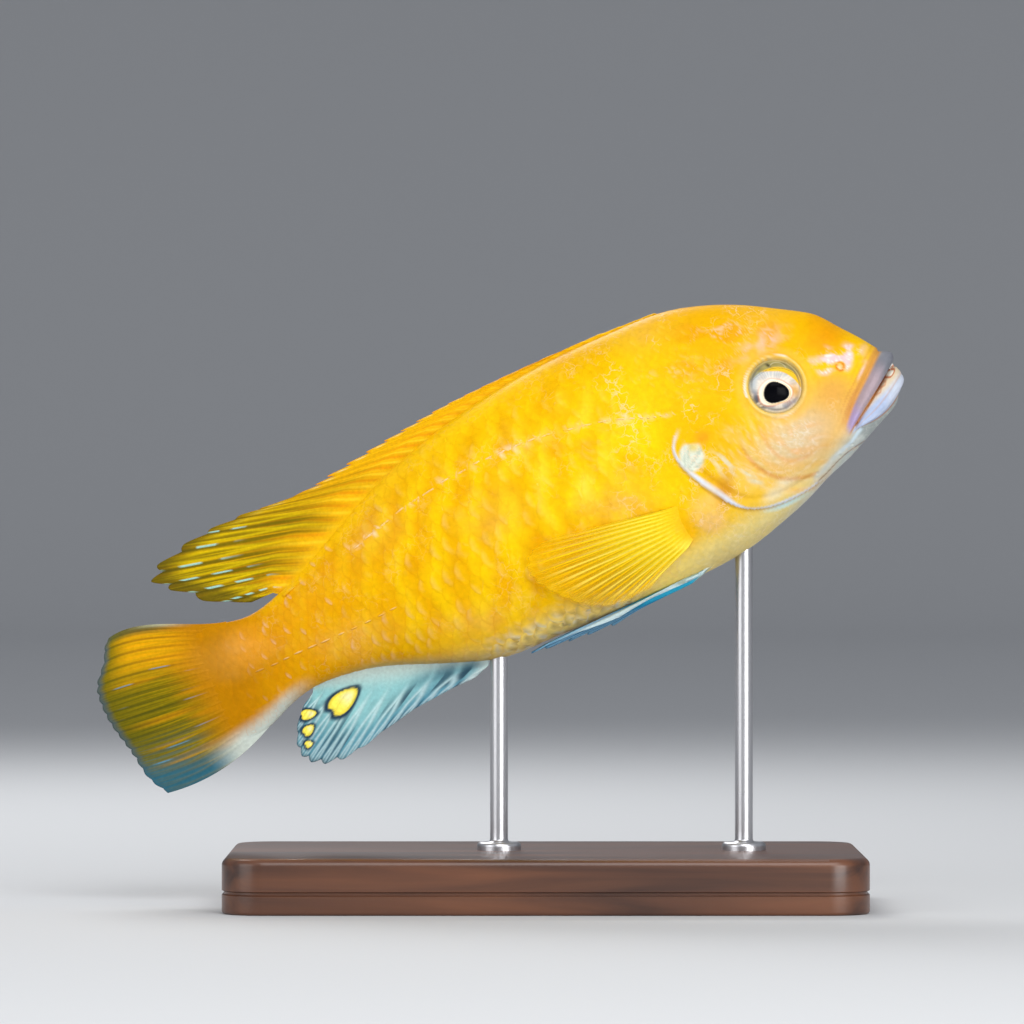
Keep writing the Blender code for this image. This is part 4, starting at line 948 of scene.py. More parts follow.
def scaled_places():
    """Where scales grow: large ones from the gills to the tail fin, small ones on the nape, the
    cheek, the gill cover and the breast. Lips, snout and the eye's rim stay bare."""
    big = lattice(SCALE_LENGTH, SCALE_ROW, 34.5, 108.8, 0.45)
    low = lattice(SMALL_SCALE, SMALL_ROW, 12.5, 44.0, 0.0)
    kept = []
    for places, large in ((big, True), (low, False)):
        a, s = places[:, 0], places[:, 1]
        ends = np.stack([np.interp(a, SHEET_A, SHEET_ENDS[:, k]) for k in (0, 1)])
        inside = (s > ends[0] - 0.2) & (s < ends[1] + 0.2) & (a < 107.4 + 1.6 * hashed(places[:, 3]))
        point, _ = on_flank(a, np.clip(s, *ends))
        h = point[:, 2]
        rear, _ = off_line(a, h, COVER_REAR)
        front, _ = off_line(a, h, COVER_FRONT)
        breast = (h < -9.5 + 0.12 * (a - 34)) & (a < 44)
        nape = (h > 17.5) & (a < 44)
        if large:
            grow = (rear > 2.1) & ~breast & ~nape | (a > 44)
        else:
            eye = off_spot(a, h, EYE_A, EYE_H)
            top = (a > 25 + 0.3 * (22 - h)) & (h > 9.0) & (a < 37)
            chest = (rear > 1.4) & (a > 26) & (breast | nape | (a < 38))
            bare = (np.abs(front) < 0.8) | (np.abs(rear) < 0.7) | (eye < 5.6)
            grow = (top | chest) & ~bare
            grow &= ~((rear > 2.1) & ~breast & ~nape & (a > 37))
        kept.append(places[inside & grow])
    return kept


def vane(name, middle, rays, material, paint_of, notch=0.08, crest=(0.85, 0.42), web=0.3,
         rows=60, per_ray=12, forks=0.0, root_rise=0.5, flare=0.0, blend=(0.03, 0.16)):
    """A fin with fine rays. Across each ray's share of the width stands one rounded ridge, which
    forks into two and then four towards the margin where it stands at a share of the width from
    forks on; the web between ends short by notch, which may vary along the width. The root is
    thicker by flare, so that the fin grows out of the flesh."""
    # Places across the rays and out along them, and the ridge's height there
    columns = (rays - 1) * per_ray + 1
    lane = np.linspace(0, rays - 1, columns)[None]
    ray = np.round(lane)
    local = lane - ray
    u = np.linspace(0, 1, rows)[:, None]
    share = lane / (rays - 1)
    first = 0.23 * ramp(u, 0.35, 0.7) * (share >= forks)
    second = 0.1 * ramp(u, 0.7, 0.95) * (share >= forks)
    fork = np.abs(np.abs(np.abs(local) - first) - second)
    width = 0.17 - 0.09 * u
    height = np.exp(-(fork / width) ** 2)
    height = height * (root_rise + (1 - root_rise) * ramp(u, 0.1, 0.34))
    # The middle sheet, its web ending short of the rays' tips, and its normal
    notch = np.interp(share, (0.0, 0.6, 0.78, 1.0), np.broadcast_to(notch, 4))
    ragged = notch * (0.75 + 0.5 * hashed(ray, 5.0)) * (2 * np.abs(local)) ** 1.5
    out = -0.06 + 1.06 * u
    points = middle(np.where(out > 0, out * (1 - ragged * u ** 3), out), share)
    down, across = np.gradient(points, axis=0), np.gradient(points, axis=1)
    normal = np.cross(down, across)
    normal /= np.linalg.norm(normal, axis=-1, keepdims=True)
    # Thickness: web, ridges with their joints, the thin margin and the thick root
    full = crest[0] + (crest[1] - crest[0]) * u
    joints = 0.02 * np.sin(u * 150) * ramp(u, 0.25, 0.4) * (first > 0)
    thick = web * (1 - 0.35 * u) + (full - web) * height + joints * height
    thick = thick * (1 - 0.55 * ramp(u, 0.93, 1.0)) + flare * fade(out, -0.1, 0.2) ** 2
    half = normal * thick[..., None] / 2
    count = rows * columns
    faces = grid_faces(rows, columns)
    faces += [tuple(p + count for p in f[::-1]) for f in faces]
    rim = grid_rim(rows, columns)
    faces += [(q, p, p + count, q + count) for p, q in zip(rim, rim[1:] + rim[:1])]
    a, h = points[..., 0], points[..., 2]
    tint = paint_of(a, h, *np.broadcast_arrays(u, share, local, ray), height)
    tint = lay(flesh_tint(a, h), tint, ramp(u, *blend))
    solid = np.maximum(height * (1 - 0.7 * ramp(out, 0.72, 1.0)), fade(out, 0.05, 0.9))
    sheet = place(np.stack([points + half, points - half]))
    piece = mesh_piece(name, sheet, faces, material, np.stack([tint, tint]),
                       {"ray": np.stack([solid, solid])})
    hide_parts(name.removeprefix("fine_"))
    return piece


def fan(table, bow=0.0, lower=0.0, wave=0.0):
    """Middle sheet of a fin on the midline, from rows of v, root and tip in side view, its root
    sunk by lower, with a slight wave from side to side towards the margin."""
    table = np.array(table, float)

    def middle(u, v):
        root_a, root_h, tip_a, tip_h = (spline(table[:, [0, k]], v, 1) for k in range(1, 5))
        a = root_a + (tip_a - root_a) * u
        h = root_h + (tip_h - root_h) * u - lower * np.clip(1 - 4 * u, 0, None)
        h = h + bow * (1 - 2 * v) * np.where(v < 0.5, 8 * u ** 2 * (1 - u), 5.4 * u * (1 - u))
        return np.stack([a, wave * np.sin(9 * v + 2 * u) * np.clip(u, 0, None) ** 1.5, h], axis=-1)

    return middle


def back_fin(table):
    """The dorsal fin's rows of root and tip, with each root on the back."""
    roots = np.array([row[0] for row in table])
    share = (roots - roots[0]) / (roots[-1] - roots[0])
    feet = spline(BACK, roots) + 0.3
    return [(s, a, foot, tip_a, tip_h) for s, foot, (a, tip_a, tip_h) in zip(share, feet, table)]


def spread(root, tips, u, v):
    """Two coordinates of a paired fin: from a straight root at share v of its way, by u towards a
    smooth curve of tips."""
    tips = np.array(tips)
    for k in (0, 1):
        foot = root[0][k] + (root[1][k] - root[0][k]) * v
        yield foot + (spline(tips[:, [0, k + 1]], v, 1) - foot) * u


def pectoral(side):
    """Middle sheet of a pectoral fin, which lies back along the flank and opens away from it."""
    def middle(u, v):
        a, h = spread(PECTORAL_ROOT, PECTORAL_TIPS, u, v)
        out = np.clip(u, 0, None)
        lift = -0.3 + 1.15 * ramp(u, -0.03, 0.22) + 1.1 * out ** 1.5 + 0.12 * np.sin(22 * v) * out ** 2
        points = np.stack([a, flank(a, h), h], axis=-1) + flank_normal(a, h) * lift[..., None]
        return on_side(points, side)

    return middle


def pelvic(side):
    """Middle sheet of a pelvic fin, which lies back under the belly and hangs away from it."""
    def middle(u, v):
        a, y = spread(PELVIC_ROOT, PELVIC_TIPS, u, v)
        out = np.clip(u, 0, None)
        h = under(a, y) + 0.25 - 0.62 * ramp(u, -0.06, 0.12) - PELVIC_HANG * out ** 2.4
        return np.stack([a, side * y, h], axis=-1)

    return middle


def streaked(u, local, ray, fast, slow, salt):
    """Streaks along each ray, unlike from ray to ray, as a wave from -1 to 1."""
    return ripple(fast * local + 9 * hashed(ray, salt) + 2 * u,
                  slow * local - 7 * hashed(ray, salt + 5) - 3 * u)


def bundled(u, v, *rates):
    """Streaks along a fin that take no heed of its rays, as a wave from -1 to 1."""
    return ripple(*(rate * v + drift * u for rate, drift in zip(rates, (2, -3, 4))))


def dashed(u, ray, least, more, salt):
    """Dashes along each ray, of a rate between least and more above it, as a wave."""
    return np.sin(u * (least + more * hashed(ray, salt)) + 6.3 * hashed(ray, salt + 1))


def dorsal_paint(a, h, u, v, local, ray, height):
    """Gold spines and web in front. The soft rays behind run from gold to yellow-olive, with dark
    lines along the web and chains of thin pale dashes near the margin."""
    soft = ramp(v, 0.62, 0.84)
    gap = ridge(np.abs(local) - 0.5, 0.2)
    tint = lay(primed((242, 190, 4), (*u.shape, 3)), ORANGE, 0.08 + 0.4 * ramp(v, 0.35, 0.9))
    lay(tint, DEEP_ORANGE, 0.3 * (1 - height) * (1 - soft) * (1 - 0.5 * ramp(u, 0.5, 1.0)))
    lay(tint, (226, 118, 0), 0.6 * ramp(u, 0.93, 1.0) * (1 - soft))
    lay(tint, (226, 226, 170), 0.7 * ridge(u - 0.86, 0.08) * height * (1 - soft))
    # Orange and lemon streaks beside each ray's root
    low = ramp(u, 0.0, 0.1) * fade(u, 0.3, 0.6) * ramp(v, 0.25, 0.6)
    lay(tint, (222, 136, 0), 0.6 * low * ridge(local + 0.3, 0.22))
    lay(tint, (255, 216, 40), 0.6 * low * ridge(local - 0.22, 0.2))
    # Olive soft part, streaked along its rays
    out = soft * ramp(u + 0.1 * np.sin(2.1 * ray) + 0.05 * np.sin(5.3 * ray), 0.04, 0.5)
    lay(tint, (132, 112, 2), out * (1 - 0.2 * height))
    grain = streaked(u, local, ray, 34, 21, 19.0)
    lay(tint, (228, 190, 2), 0.75 * out * ramp(grain, 0.3, 0.9))
    lay(tint, (92, 80, 2), 0.5 * out * ramp(-grain, 0.3, 0.9))
    bundle = bundled(u, v, 71, 113, 43)
    lay(tint, (96, 86, 2), 0.55 * out * ramp(bundle, 0.1, 0.7))
    lay(tint, (196, 120, 0), 0.4 * out * ridge(np.abs(local) - 0.3, 0.12))
    lay(tint, (104, 86, 4), 0.45 * ramp(v, 0.55, 0.7) * ramp(u, 0.15, 0.6) * gap)
    lay(tint, (222, 192, 4), 0.66 * height * out * (1 - 0.7 * ramp(u, 0.8, 1.0)))
    lay(tint, (78, 68, 8), 0.75 * soft * ramp(u + 0.25 * ramp(v, 0.85, 1.0), 0.8, 1.0))
    # Pale dashes in the web near the margin
    dash = dashed(u, ray, 24, 9, 6.0)
    where = (ramp(u + 0.5 * ramp(v, 0.8, 1.0), 0.6, 0.85) * ramp(v, 0.68, 0.8)
             * (1 - 0.5 * ramp(u, 0.95, 1.0)))
    beside = ridge(np.abs(local) - 0.4, 0.085) * where * (local > 0) * ramp(hashed(ray, 13.0), 0.1, 0.3)
    return lay(tint, (170, 232, 222), 0.97 * beside * ramp(dash, -0.3, 0.1))


def tail_paint(a, h, u, v, local, ray, height):
    """Orange at the root and in the upper rays, gold-olive between, with dark lines in the web, a
    blue-grey margin, a pale line on top and bluish streaks and a pale edge below."""
    gap = ridge(np.abs(local) - 0.5, 0.2)
    far = u + 0.34 * (v - 0.42) + 0.04 * np.sin(9 * v)
    tint = lay(primed(ORANGE, (*u.shape, 3)), DEEP_ORANGE, 0.85)
    warm = fade(v, 0.16, 0.42)
    # Olive from the middle out, streaked along and between the rays
    lay(tint, (112, 104, 2), ramp(far - 0.45 * warm, 0.14, 0.44))
    lay(tint, (98, 92, 8), ramp(far - 0.2 * warm, 0.5, 0.95) * 0.85)
    grain = streaked(u, local, ray, 37, 23, 20.0)
    long = (0.5 + 0.5 * hashed(ray + 0.3 * (local > 0), 26.0)) * fade(u, 0.55, 0.95)
    lay(tint, (200, 148, 0), 0.55 * ramp(grain, 0.2, 0.8) * long)
    lay(tint, (62, 62, 10), 0.55 * ramp(-grain, 0.2, 0.9) * ramp(u, 0.3, 0.6))
    bundle = bundled(u, v, 47, 73, 29)
    lay(tint, (84, 84, 6), 0.6 * ramp(bundle, 0.0, 0.7) * ramp(u, 0.25, 0.5) * (1 - 0.7 * warm))
    lay(tint, (228, 150, 0), 0.5 * ramp(-bundle, 0.22, 0.6) * fade(u, 0.6, 1.0))
    lay(tint, (240, 172, 0), 0.85 * warm * ramp(v, 0.03, 0.08) * fade(u, 0.75, 1.0) * (1 - 0.5 * gap))
    lay(tint, (92, 108, 92), 0.75 * ramp(v, 0.62, 0.85) * ramp(u, 0.35, 0.6) * (1 - height))
    lay(tint, (70, 68, 12), 0.35 * gap * ramp(u, 0.2, 0.5))
    lay(tint, (164, 136, 2), 0.45 * height * ramp(u, 0.25, 0.4) * (1 - 0.8 * ramp(far, 0.6, 1.1)))
    # Margin, upper edge with its pale line, and the bluish lower rays
    lay(tint, (66, 88, 100), 0.75 * ramp(u, 0.94, 0.99))
    lay(tint, (84, 88, 46), 0.8 * fade(v, 0.01, 0.08) * ramp(u, 0.3, 0.7))
    lay(tint, (186, 190, 160), 0.8 * ridge(v, 0.03) * ridge(u - 0.45, 0.4))
    low = ramp(v + 0.06 * ramp(u, 0.5, 1.0), 0.84, 0.97)
    lay(tint, (38, 98, 118), 0.95 * low * ramp(u, 0.2, 0.42) * (1 - 0.3 * height))
    lay(tint, (192, 212, 208), 0.85 * ramp(v, 0.9, 0.98) * fade(u, 0.15, 0.5))
    dash = dashed(u, ray, 7, 6, 8.0)
    beside = ridge(local - 0.42, 0.07) * ramp(u, 0.25, 0.45) * ramp(hashed(ray, 10.0), 0.5, 0.7)
    return lay(tint, (96, 160, 196), 0.8 * beside * ramp(dash, 0.5, 0.9) * fade(u, 0.85, 0.95))


def anal_paint(a, h, u, v, local, ray, height):
    """Pale cyan with dark blue streaks outwards, and egg spots ringed in dark blue."""
    tint = lay(primed((214, 226, 216), (*u.shape, 3)), CYAN, ramp(u, 0.03, 0.3))
    lay(tint, SEA, 0.92 * ramp(u, 0.42, 0.9))
    front = fade(v, 0.12, 0.4)
    lay(tint, (66, 124, 150), 0.5 * front * ramp(u, 0.0, 0.3))
    streak = ((1 - height) * ramp(u + 0.3 * front, 0.3, 0.62)
              * (0.12 + 0.88 * hashed(ray + (local > 0), 15.0)))
    lay(tint, DEEP_BLUE, 0.95 * streak * ramp(np.sin(5 * u + 9 * hashed(ray, 11.0)), -0.8, 0.3))
    lay(tint, (214, 234, 234), 0.5 * height * ramp(u, 0.2, 0.5))
    lay(tint, (30, 54, 70), 0.6 * ramp(u, 0.95, 1.0) * ramp(v, 0.3, 0.6))
    lay(tint, (226, 240, 236), 0.55 * fade(v, 0.0, 0.06))
    for spot_a, spot_h, long, tall, turn in EGG_SPOTS:
        along_it, over = turned(a, h, (spot_a, spot_h), turn)
        lean = np.clip(along_it / long, -1, 1)
        notch = 0.22 * ridge(over, 0.5 * tall) * ramp(lean, 0.2, 1.0)
        far = np.hypot(along_it / long, over / (tall * (1 + 0.32 * lean))) + notch
        lay(tint, DEEP_BLUE, 0.97 * fade(far, 1.1, 1.1 + 0.4 / tall))
        lay(tint, EGG, fade(far, 0.88, 1.0))
        lay(tint, (232, 196, 30), 0.5 * ridge(far - 0.85, 0.15))
        lay(tint, WHITE, 0.6 * fade(far, 0.3, 0.9) * ramp(-along_it / long, -0.4, 0.6))
    return tint


def pelvic_paint(a, h, u, v, local, ray, height):
    """Sea blue with a white leading edge and dark streaks along the web."""
    tint = lay(primed((52, 178, 214), (*u.shape, 3)), (18, 122, 176), ramp(u, 0.3, 0.7))
    lay(tint, (12, 40, 72), 0.65 * (1 - height) * ramp(u, 0.35, 0.6))
    lay(tint, (190, 224, 228), 0.4 * height * ramp(u, 0.5, 0.7))
    return lay(tint, (206, 230, 232), 0.9 * fade(v, 0.06, 0.16))


def pectoral_paint(a, h, u, v, local, ray, height):
    """Clear yellow web with deeper orange rays and a painted highlight beside each ray."""
    tint = lay(primed((250, 224, 30), (*u.shape, 3)), (248, 204, 8), ramp(u, 0.3, 0.9))
    lay(tint, (246, 190, 4), 0.6 * ramp(height, 0.35, 0.95))
    lay(tint, (222, 142, 0), 0.6 * ridge(local - 0.3, 0.16) * ramp(u, 0.1, 0.3) * (1 - 0.6 * u))
    # A painted highlight beside each ray
    return lay(tint, (255, 238, 120),
               0.5 * ridge(local + 0.24, 0.2) * ramp(u, 0.1, 0.35) * fade(u, 0.8, 1))


DORSAL_RAYS, ANAL_RAYS, TAIL_RAYS, PECTORAL_RAYS, PELVIC_RAYS = 28, 11, 17, 14, 6


def build_fins(material, thin):
    """All fins, with counts of rays that follow the species."""
    on_back = fan(back_fin(SPINY_FIN + SOFT_FIN), lower=0.9, wave=0.15)
    dorsal = vane("fine_dorsal_fin_spiny", on_back, DORSAL_RAYS, material, dorsal_paint,
                  notch=(0.17, 0.15, 0.07, 0.1), forks=0.7, rows=64, crest=(0.6, 0.34), web=0.3,
                  flare=4.4, per_ray=16, blend=(0.03, 0.17))
    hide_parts("dorsal_fin_soft")
    below = fan(ANAL_FIN, lower=-0.9, wave=0.2)
    vane("fine_anal_fin", below, ANAL_RAYS, material, anal_paint, notch=0.05,
         flare=3.0, per_ray=16, blend=(0.0, 0.06))
    behind = fan(TAIL_FIN, bow=1.0, wave=0.2)
    vane("fine_tail_fin", behind, TAIL_RAYS, material, tail_paint, notch=0.014, rows=70,
         crest=(0.56, 0.4), web=0.36, root_rise=0.0, blend=(0.22, 0.6), per_ray=18)
    for side, word in SIDES:
        vane(f"fine_pectoral_fin_{word}", pectoral(side), PECTORAL_RAYS, thin,
             pectoral_paint, notch=0.02, forks=0.4, crest=(0.25, 0.14), web=0.13, rows=54,
             root_rise=0.1, blend=(0.03, 0.36))
        vane(f"fine_pelvic_fin_{word}", pelvic(side), PELVIC_RAYS, material,
             pelvic_paint, notch=0.1, per_ray=14)


EYE_RINGS, EYE_SPOKES = 110, 128


def build_eye(side, word, material):
    """An eyeball turned about its own axis: a flattened ball whose profile swells a little over the
    pupil, with iris and pupil painted by place."""
    rings, spokes = EYE_RINGS, EYE_SPOKES
    lean = np.linspace(0, math.pi, rings)[:, None]
    spoke = np.linspace(0, 2 * math.pi, spokes, endpoint=False)[None]
    radius = EYE_RADIUS * np.sin(lean)
    swell = 0.22 * np.exp(-(radius / 1.9) ** 2) * (lean < 1.5)
    deep = EYE_DEPTH * np.cos(lean) + swell
    normal = flank_normal(np.array(EYE_A), np.array(EYE_H))
    centre = (np.array([EYE_A, float(flank(EYE_A, EYE_H)), EYE_H])
              + normal * (EYE_STANDS_OUT - EYE_DEPTH))
    up = np.array([0.0, 0.0, 1.0]) - normal * normal[2]
    up /= np.linalg.norm(up)
    back = np.cross(up, normal)
    back *= np.sign(back[0])
    right, rise = radius * np.cos(spoke), radius * np.sin(spoke)
    ball = centre + normal * deep[..., None] + back * right[..., None] + up * rise[..., None]
    tint = iris_tint(right, rise)
    points = place(on_side(ball, side))
    keep = np.concatenate([points[0, :1], points[1:-1].reshape(-1, 3), points[-1, :1]])
    paints = np.concatenate([tint[0, :1], tint[1:-1].reshape(-1, 3), tint[-1, :1]])
    faces = grid_faces(rings - 2, spokes, True, 1)
    end = 1 + (rings - 2) * spokes
    faces += [(0, 1 + (k + 1) % spokes, 1 + k) for k in range(spokes)]
    faces += [(end, end - spokes + k, end - spokes + (k + 1) % spokes) for k in range(spokes)]
    eye = mesh_piece(f"fine_eye_{word}", keep, faces, material, paints)
    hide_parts(f"eye_{word}")
    return eye


def iris_tint(right, rise):
    """Paint of an eye: black pear-shaped pupil that lies level when the fish is pitched, a bright
    ring, a silver iris blotched behind, a gold crescent and an olive one above, a grey outer rim.
    right runs to the tail and rise up from the eye's middle; ahead and over are the level ones."""
    c, s = math.cos(PITCH), math.sin(PITCH)
    ahead, over = -(right * c + rise * s), rise * c - right * s
    px, py = ahead + 0.2, over + 1.19
    spin = np.arctan2(py, px)
    pupil = (np.hypot(px / 1.86, py / 1.48)
             / (1 + 0.02 * np.cos(spin) + 0.065 * np.cos(3 * (spin + 0.1))))
    far = np.hypot(right, rise)
    turn = np.arctan2(over, ahead)
    streak = 0.5 + 0.5 * np.sin(spin * 44 + 2 * np.sin(spin * 9) + 3 * far)
    cloud = ramp(ripple(ahead * 3.1 + over, over * 4.3 - ahead, ahead * 2 - over * 2.6), -0.1, 0.5)
    tint = primed((236, 224, 206), (*right.shape, 3))
    lay(tint, (180, 168, 160), 0.45 * cloud + 0.2 * streak)
    # Greys and silver behind and above the pupil, a slate patch below
    low_rim = ridge(far - 3.35, 0.6) * ramp(-over - 0.15 * ahead, -0.2, 0.9)
    lay(tint, (132, 138, 152), 0.75 * low_rim * (0.3 + 0.7 * cloud))
    silver = ramp(far, 2.4, 3.3) * ramp(-ahead, -0.5, 1.5) * ramp(over, -1.4, 0.2)
    lay(tint, (176, 190, 198), 0.8 * silver)
    lay(tint, (170, 182, 186), ramp(over, 0.6, 1.7) * (0.25 + 0.4 * streak))
    slate = ridge(np.hypot(ahead + 2.4, (over + 2.35) * 0.8), 1.85)
    lay(tint, (56, 60, 78), 0.8 * ramp(slate, 0.1, 0.9) * ramp(cloud + 0.5 * streak, 0.1, 0.8))
    lay(tint, (206, 206, 204), 0.5 * ridge(np.sin(9 * over + ahead), 0.8) * ramp(over, -0.3, 0.4))
    # Gold in front and above, under an olive cap with a dark fold
    lay(tint, (222, 168, 74), 0.85 * ridge(np.hypot(ahead - 2.7, over + 0.8), 1.6))
    lay(tint, (176, 120, 92),
        0.5 * ridge(np.hypot(ahead - 1.9, over + 2.3), 1.1) * (0.3 + 0.7 * streak))
    lay(tint, (240, 190, 8), 0.95 * ramp(over + 0.16 * np.clip(ahead, 0, None) ** 2, 1.85, 2.1))
    olive = lay(primed((150, 146, 98), tint.shape), (104, 104, 70), cloud * ramp(far, 2.6, 3.6))
    lay(tint, olive, 0.88 * ramp(over + 0.12 * (ahead - 0.4) ** 2, 2.55, 2.85))
    lay(tint, (214, 206, 168),
        0.6 * ridge(np.hypot(ahead - 0.3, over - 2.2) - 1.3, 0.12) * ramp(over, 2.4, 2.8))
    lay(tint, (44, 42, 30),
        0.9 * ridge(np.hypot(ahead + 1.05 + 0.5 * (over - 3), (over - 3.0) * 0.8), 0.5))
    lay(tint, (60, 56, 40), 0.6 * ridge(over + 0.12 * (ahead - 0.4) ** 2 - 2.5, 0.08))
    # The bright ring, the pupil and the outer rim
    edge = 1.24 + 0.09 * np.cos(spin - 2.5) + 0.07 * np.cos(2 * spin - 0.6) + 0.02 * np.sin(7 * spin)
    lay(tint, (255, 244, 220), 0.97 * fade(pupil, edge - 0.06, edge + 0.1))
    lay(tint, (222, 136, 84),
        0.6 * ridge(pupil - edge - 0.07, 0.12) * (0.5 + 0.5 * np.cos(spin - 0.9) ** 2))
    lay(tint, (236, 170, 50),
        0.7 * ridge(pupil - 1.09, 0.08) * (0.4 + 0.6 * ramp(np.cos(spin + 0.7), -0.3, 0.6)))
    lay(tint, INK, fade(pupil, 0.98, 1.04))
    lay(tint, (110, 106, 100), 0.75 * ridge(far - 3.5, 0.25) * (0.55 + 0.45 * np.sin(turn * 3)))
    return lay(tint, (196, 184, 140), 0.8 * ramp(far, 3.62, 3.9))


# Teeth: which way a row points, how many pegs it has and how far it spreads to each side
TOOTH_ROWS = ((1, 15, 2.9), (-1, 14, 2.7))
PEG_LENGTH, PEG_RADIUS = 0.62, 0.15
PEG_RINGS, PEG_SPOKES = 6, 8


def build_teeth(material):
    """Rows of small pegs in both jaws: each a tube whose radius falls to a flattened orange tip."""
    ring = np.linspace(0, 2 * math.pi, PEG_SPOKES, endpoint=False)[None, None]
    t = np.linspace(0, 1, PEG_RINGS)[None, :, None]
    rows = [(upward, span * share) for upward, count, span in TOOTH_ROWS
            for share in np.linspace(-1, 1, count)]
    upward, y = np.array(rows).T[:, :, None, None]
    a = 0.95 + 0.1 * y * y
    foot = MOUTH_HEIGHT - GAPE_FALL * (a - SNOUT_A) - upward * PEG_LENGTH
    radius = PEG_RADIUS * (1 - 0.45 * t ** 2)
    pegs = np.stack(np.broadcast_arrays(a + radius * np.cos(ring) * (1 - 0.4 * t) - 0.18 * t,
                                        y + radius * np.sin(ring), foot + upward * PEG_LENGTH * t),
                    axis=-1)
    each = PEG_RINGS * PEG_SPOKES
    peg = closed_tube(PEG_RINGS, PEG_SPOKES)
    faces = [tuple(p + each * k for p in f) for k in range(len(rows)) for f in peg]
    tint = lay(primed(WHITE, pegs.shape), (214, 112, 40), 0.8 * ramp(t, 0.45, 0.9))
    mesh_piece("teeth", place(pegs), faces, material, tint)


# The side line's tubes: points along and across each, and how many stand in each run
TUBE_LONG, TUBE_WIDE = 9, 7
TUBES_UPPER, TUBES_LOWER = 24, 11


def build_side_line(side, word, material):
    """Pored tubes of the side line: one long low dome per scale, along both of its runs."""
    t = np.linspace(0, 1, TUBE_LONG)[:, None]
    w = np.linspace(-1, 1, TUBE_WIDE)[None]
    points, faces, tints = [], [], []
    for line, count in ((UPPER_LINE, TUBES_UPPER), (LOWER_LINE, TUBES_LOWER)):
        for k in range(count):
            stray = [float(hashed(k, salt)) for salt in (16.0, 17.0, 18.0, 12.0)]
            share = (k + 0.1 + 0.2 * stray[0] + (0.45 + 0.25 * stray[1]) * t) / count
            mid = along(line, share[:, 0])
            a = mid[:, 0][:, None] + 0 * w
            h = (mid[:, 1][:, None] + 0.25 * stray[2] - 0.12
                 + 0.15 * w * (0.6 + 0.4 * np.sin(math.pi * t)))
            dome = (1 - w ** 2) * np.sin(math.pi * (0.08 + 0.84 * t))
            lift = 0.04 + 0.15 * dome + relief(a, h)
            point = np.stack([a, flank(a, h), h], axis=-1) + flank_normal(a, h) * lift[..., None]
            quads = grid_faces(TUBE_LONG, TUBE_WIDE, False, len(points) * TUBE_LONG * TUBE_WIDE)
            faces += quads if side < 0 else [q[::-1] for q in quads]
            points.append(on_side(point, side))
            pale = 0.65 * dome * (0.25 + 0.75 * stray[3])
            tints.append(lay(flesh_tint(a, h), (244, 214, 160), pale))
    mesh_piece(f"side_line_{word}", place(np.array(points)), faces, material, np.array(tints))


def knot(tree, kind, feeds=None, operation=None, group=None):
    """A node of a tree. feeds gives its inputs by name or number: a value to hold, or another
    node's output to join."""
    node = tree.nodes.new("ShaderNode" + kind)
    if operation:
        node.operation = operation
    if group:
        node.node_tree = group
    for key, value in (feeds or {}).items():
        if isinstance(value, bpy.types.NodeSocket):
            tree.links.new(value, node.inputs[key])
        else:
            node.inputs[key].default_value = value
    return node


def on_vertices(tree, name):
    """Outputs of a node that reads what the vertices keep under a name."""
    node = knot(tree, "Attribute")
    node.attribute_name = name
    return node.outputs


def paint_group(name, change, numbers):
    """A node group that changes a paint by named numbers. change is given the tree and the group's
    inputs, and gives back the new paint."""
    tree = bpy.data.node_groups.new(name, "ShaderNodeTree")
    add = tree.interface.new_socket
    add("Paint", in_out="INPUT", socket_type="NodeSocketColor").default_value = (1, 1, 1, 1)
    for key, value in numbers.items():
        add(key, in_out="INPUT", socket_type="NodeSocketFloat").default_value = value
    add("Paint", in_out="OUTPUT", socket_type="NodeSocketColor")
    given = tree.nodes.new("NodeGroupInput").outputs
    out = tree.nodes.new("NodeGroupOutput").inputs
    tree.links.new(change(tree, given), out["Paint"])
    return tree


def mottled(tree, given):
    """Paint that varies a little: a fine-grained noise lightens and darkens it."""
    where = knot(tree, "TexCoord").outputs["Object"]
    noise = knot(tree, "TexNoise", {"Vector": where, "Scale": given["Size"], "Detail": 5})
    low = knot(tree, "Math", {0: 1.0, 1: given["Strength"]}, "SUBTRACT")
    high = knot(tree, "Math", {0: 1.0, 1: given["Strength"]}, "ADD")
    spread = knot(tree, "MapRange", {"Value": noise.outputs["Fac"], "From Min": 0.25, "From Max": 0.75,
                                     "To Min": low.outputs[0], "To Max": high.outputs[0]})
    light = spread.outputs["Result"]
    return knot(tree, "VectorMath", {0: given["Paint"], "Scale": light}, "SCALE").outputs["Vector"]


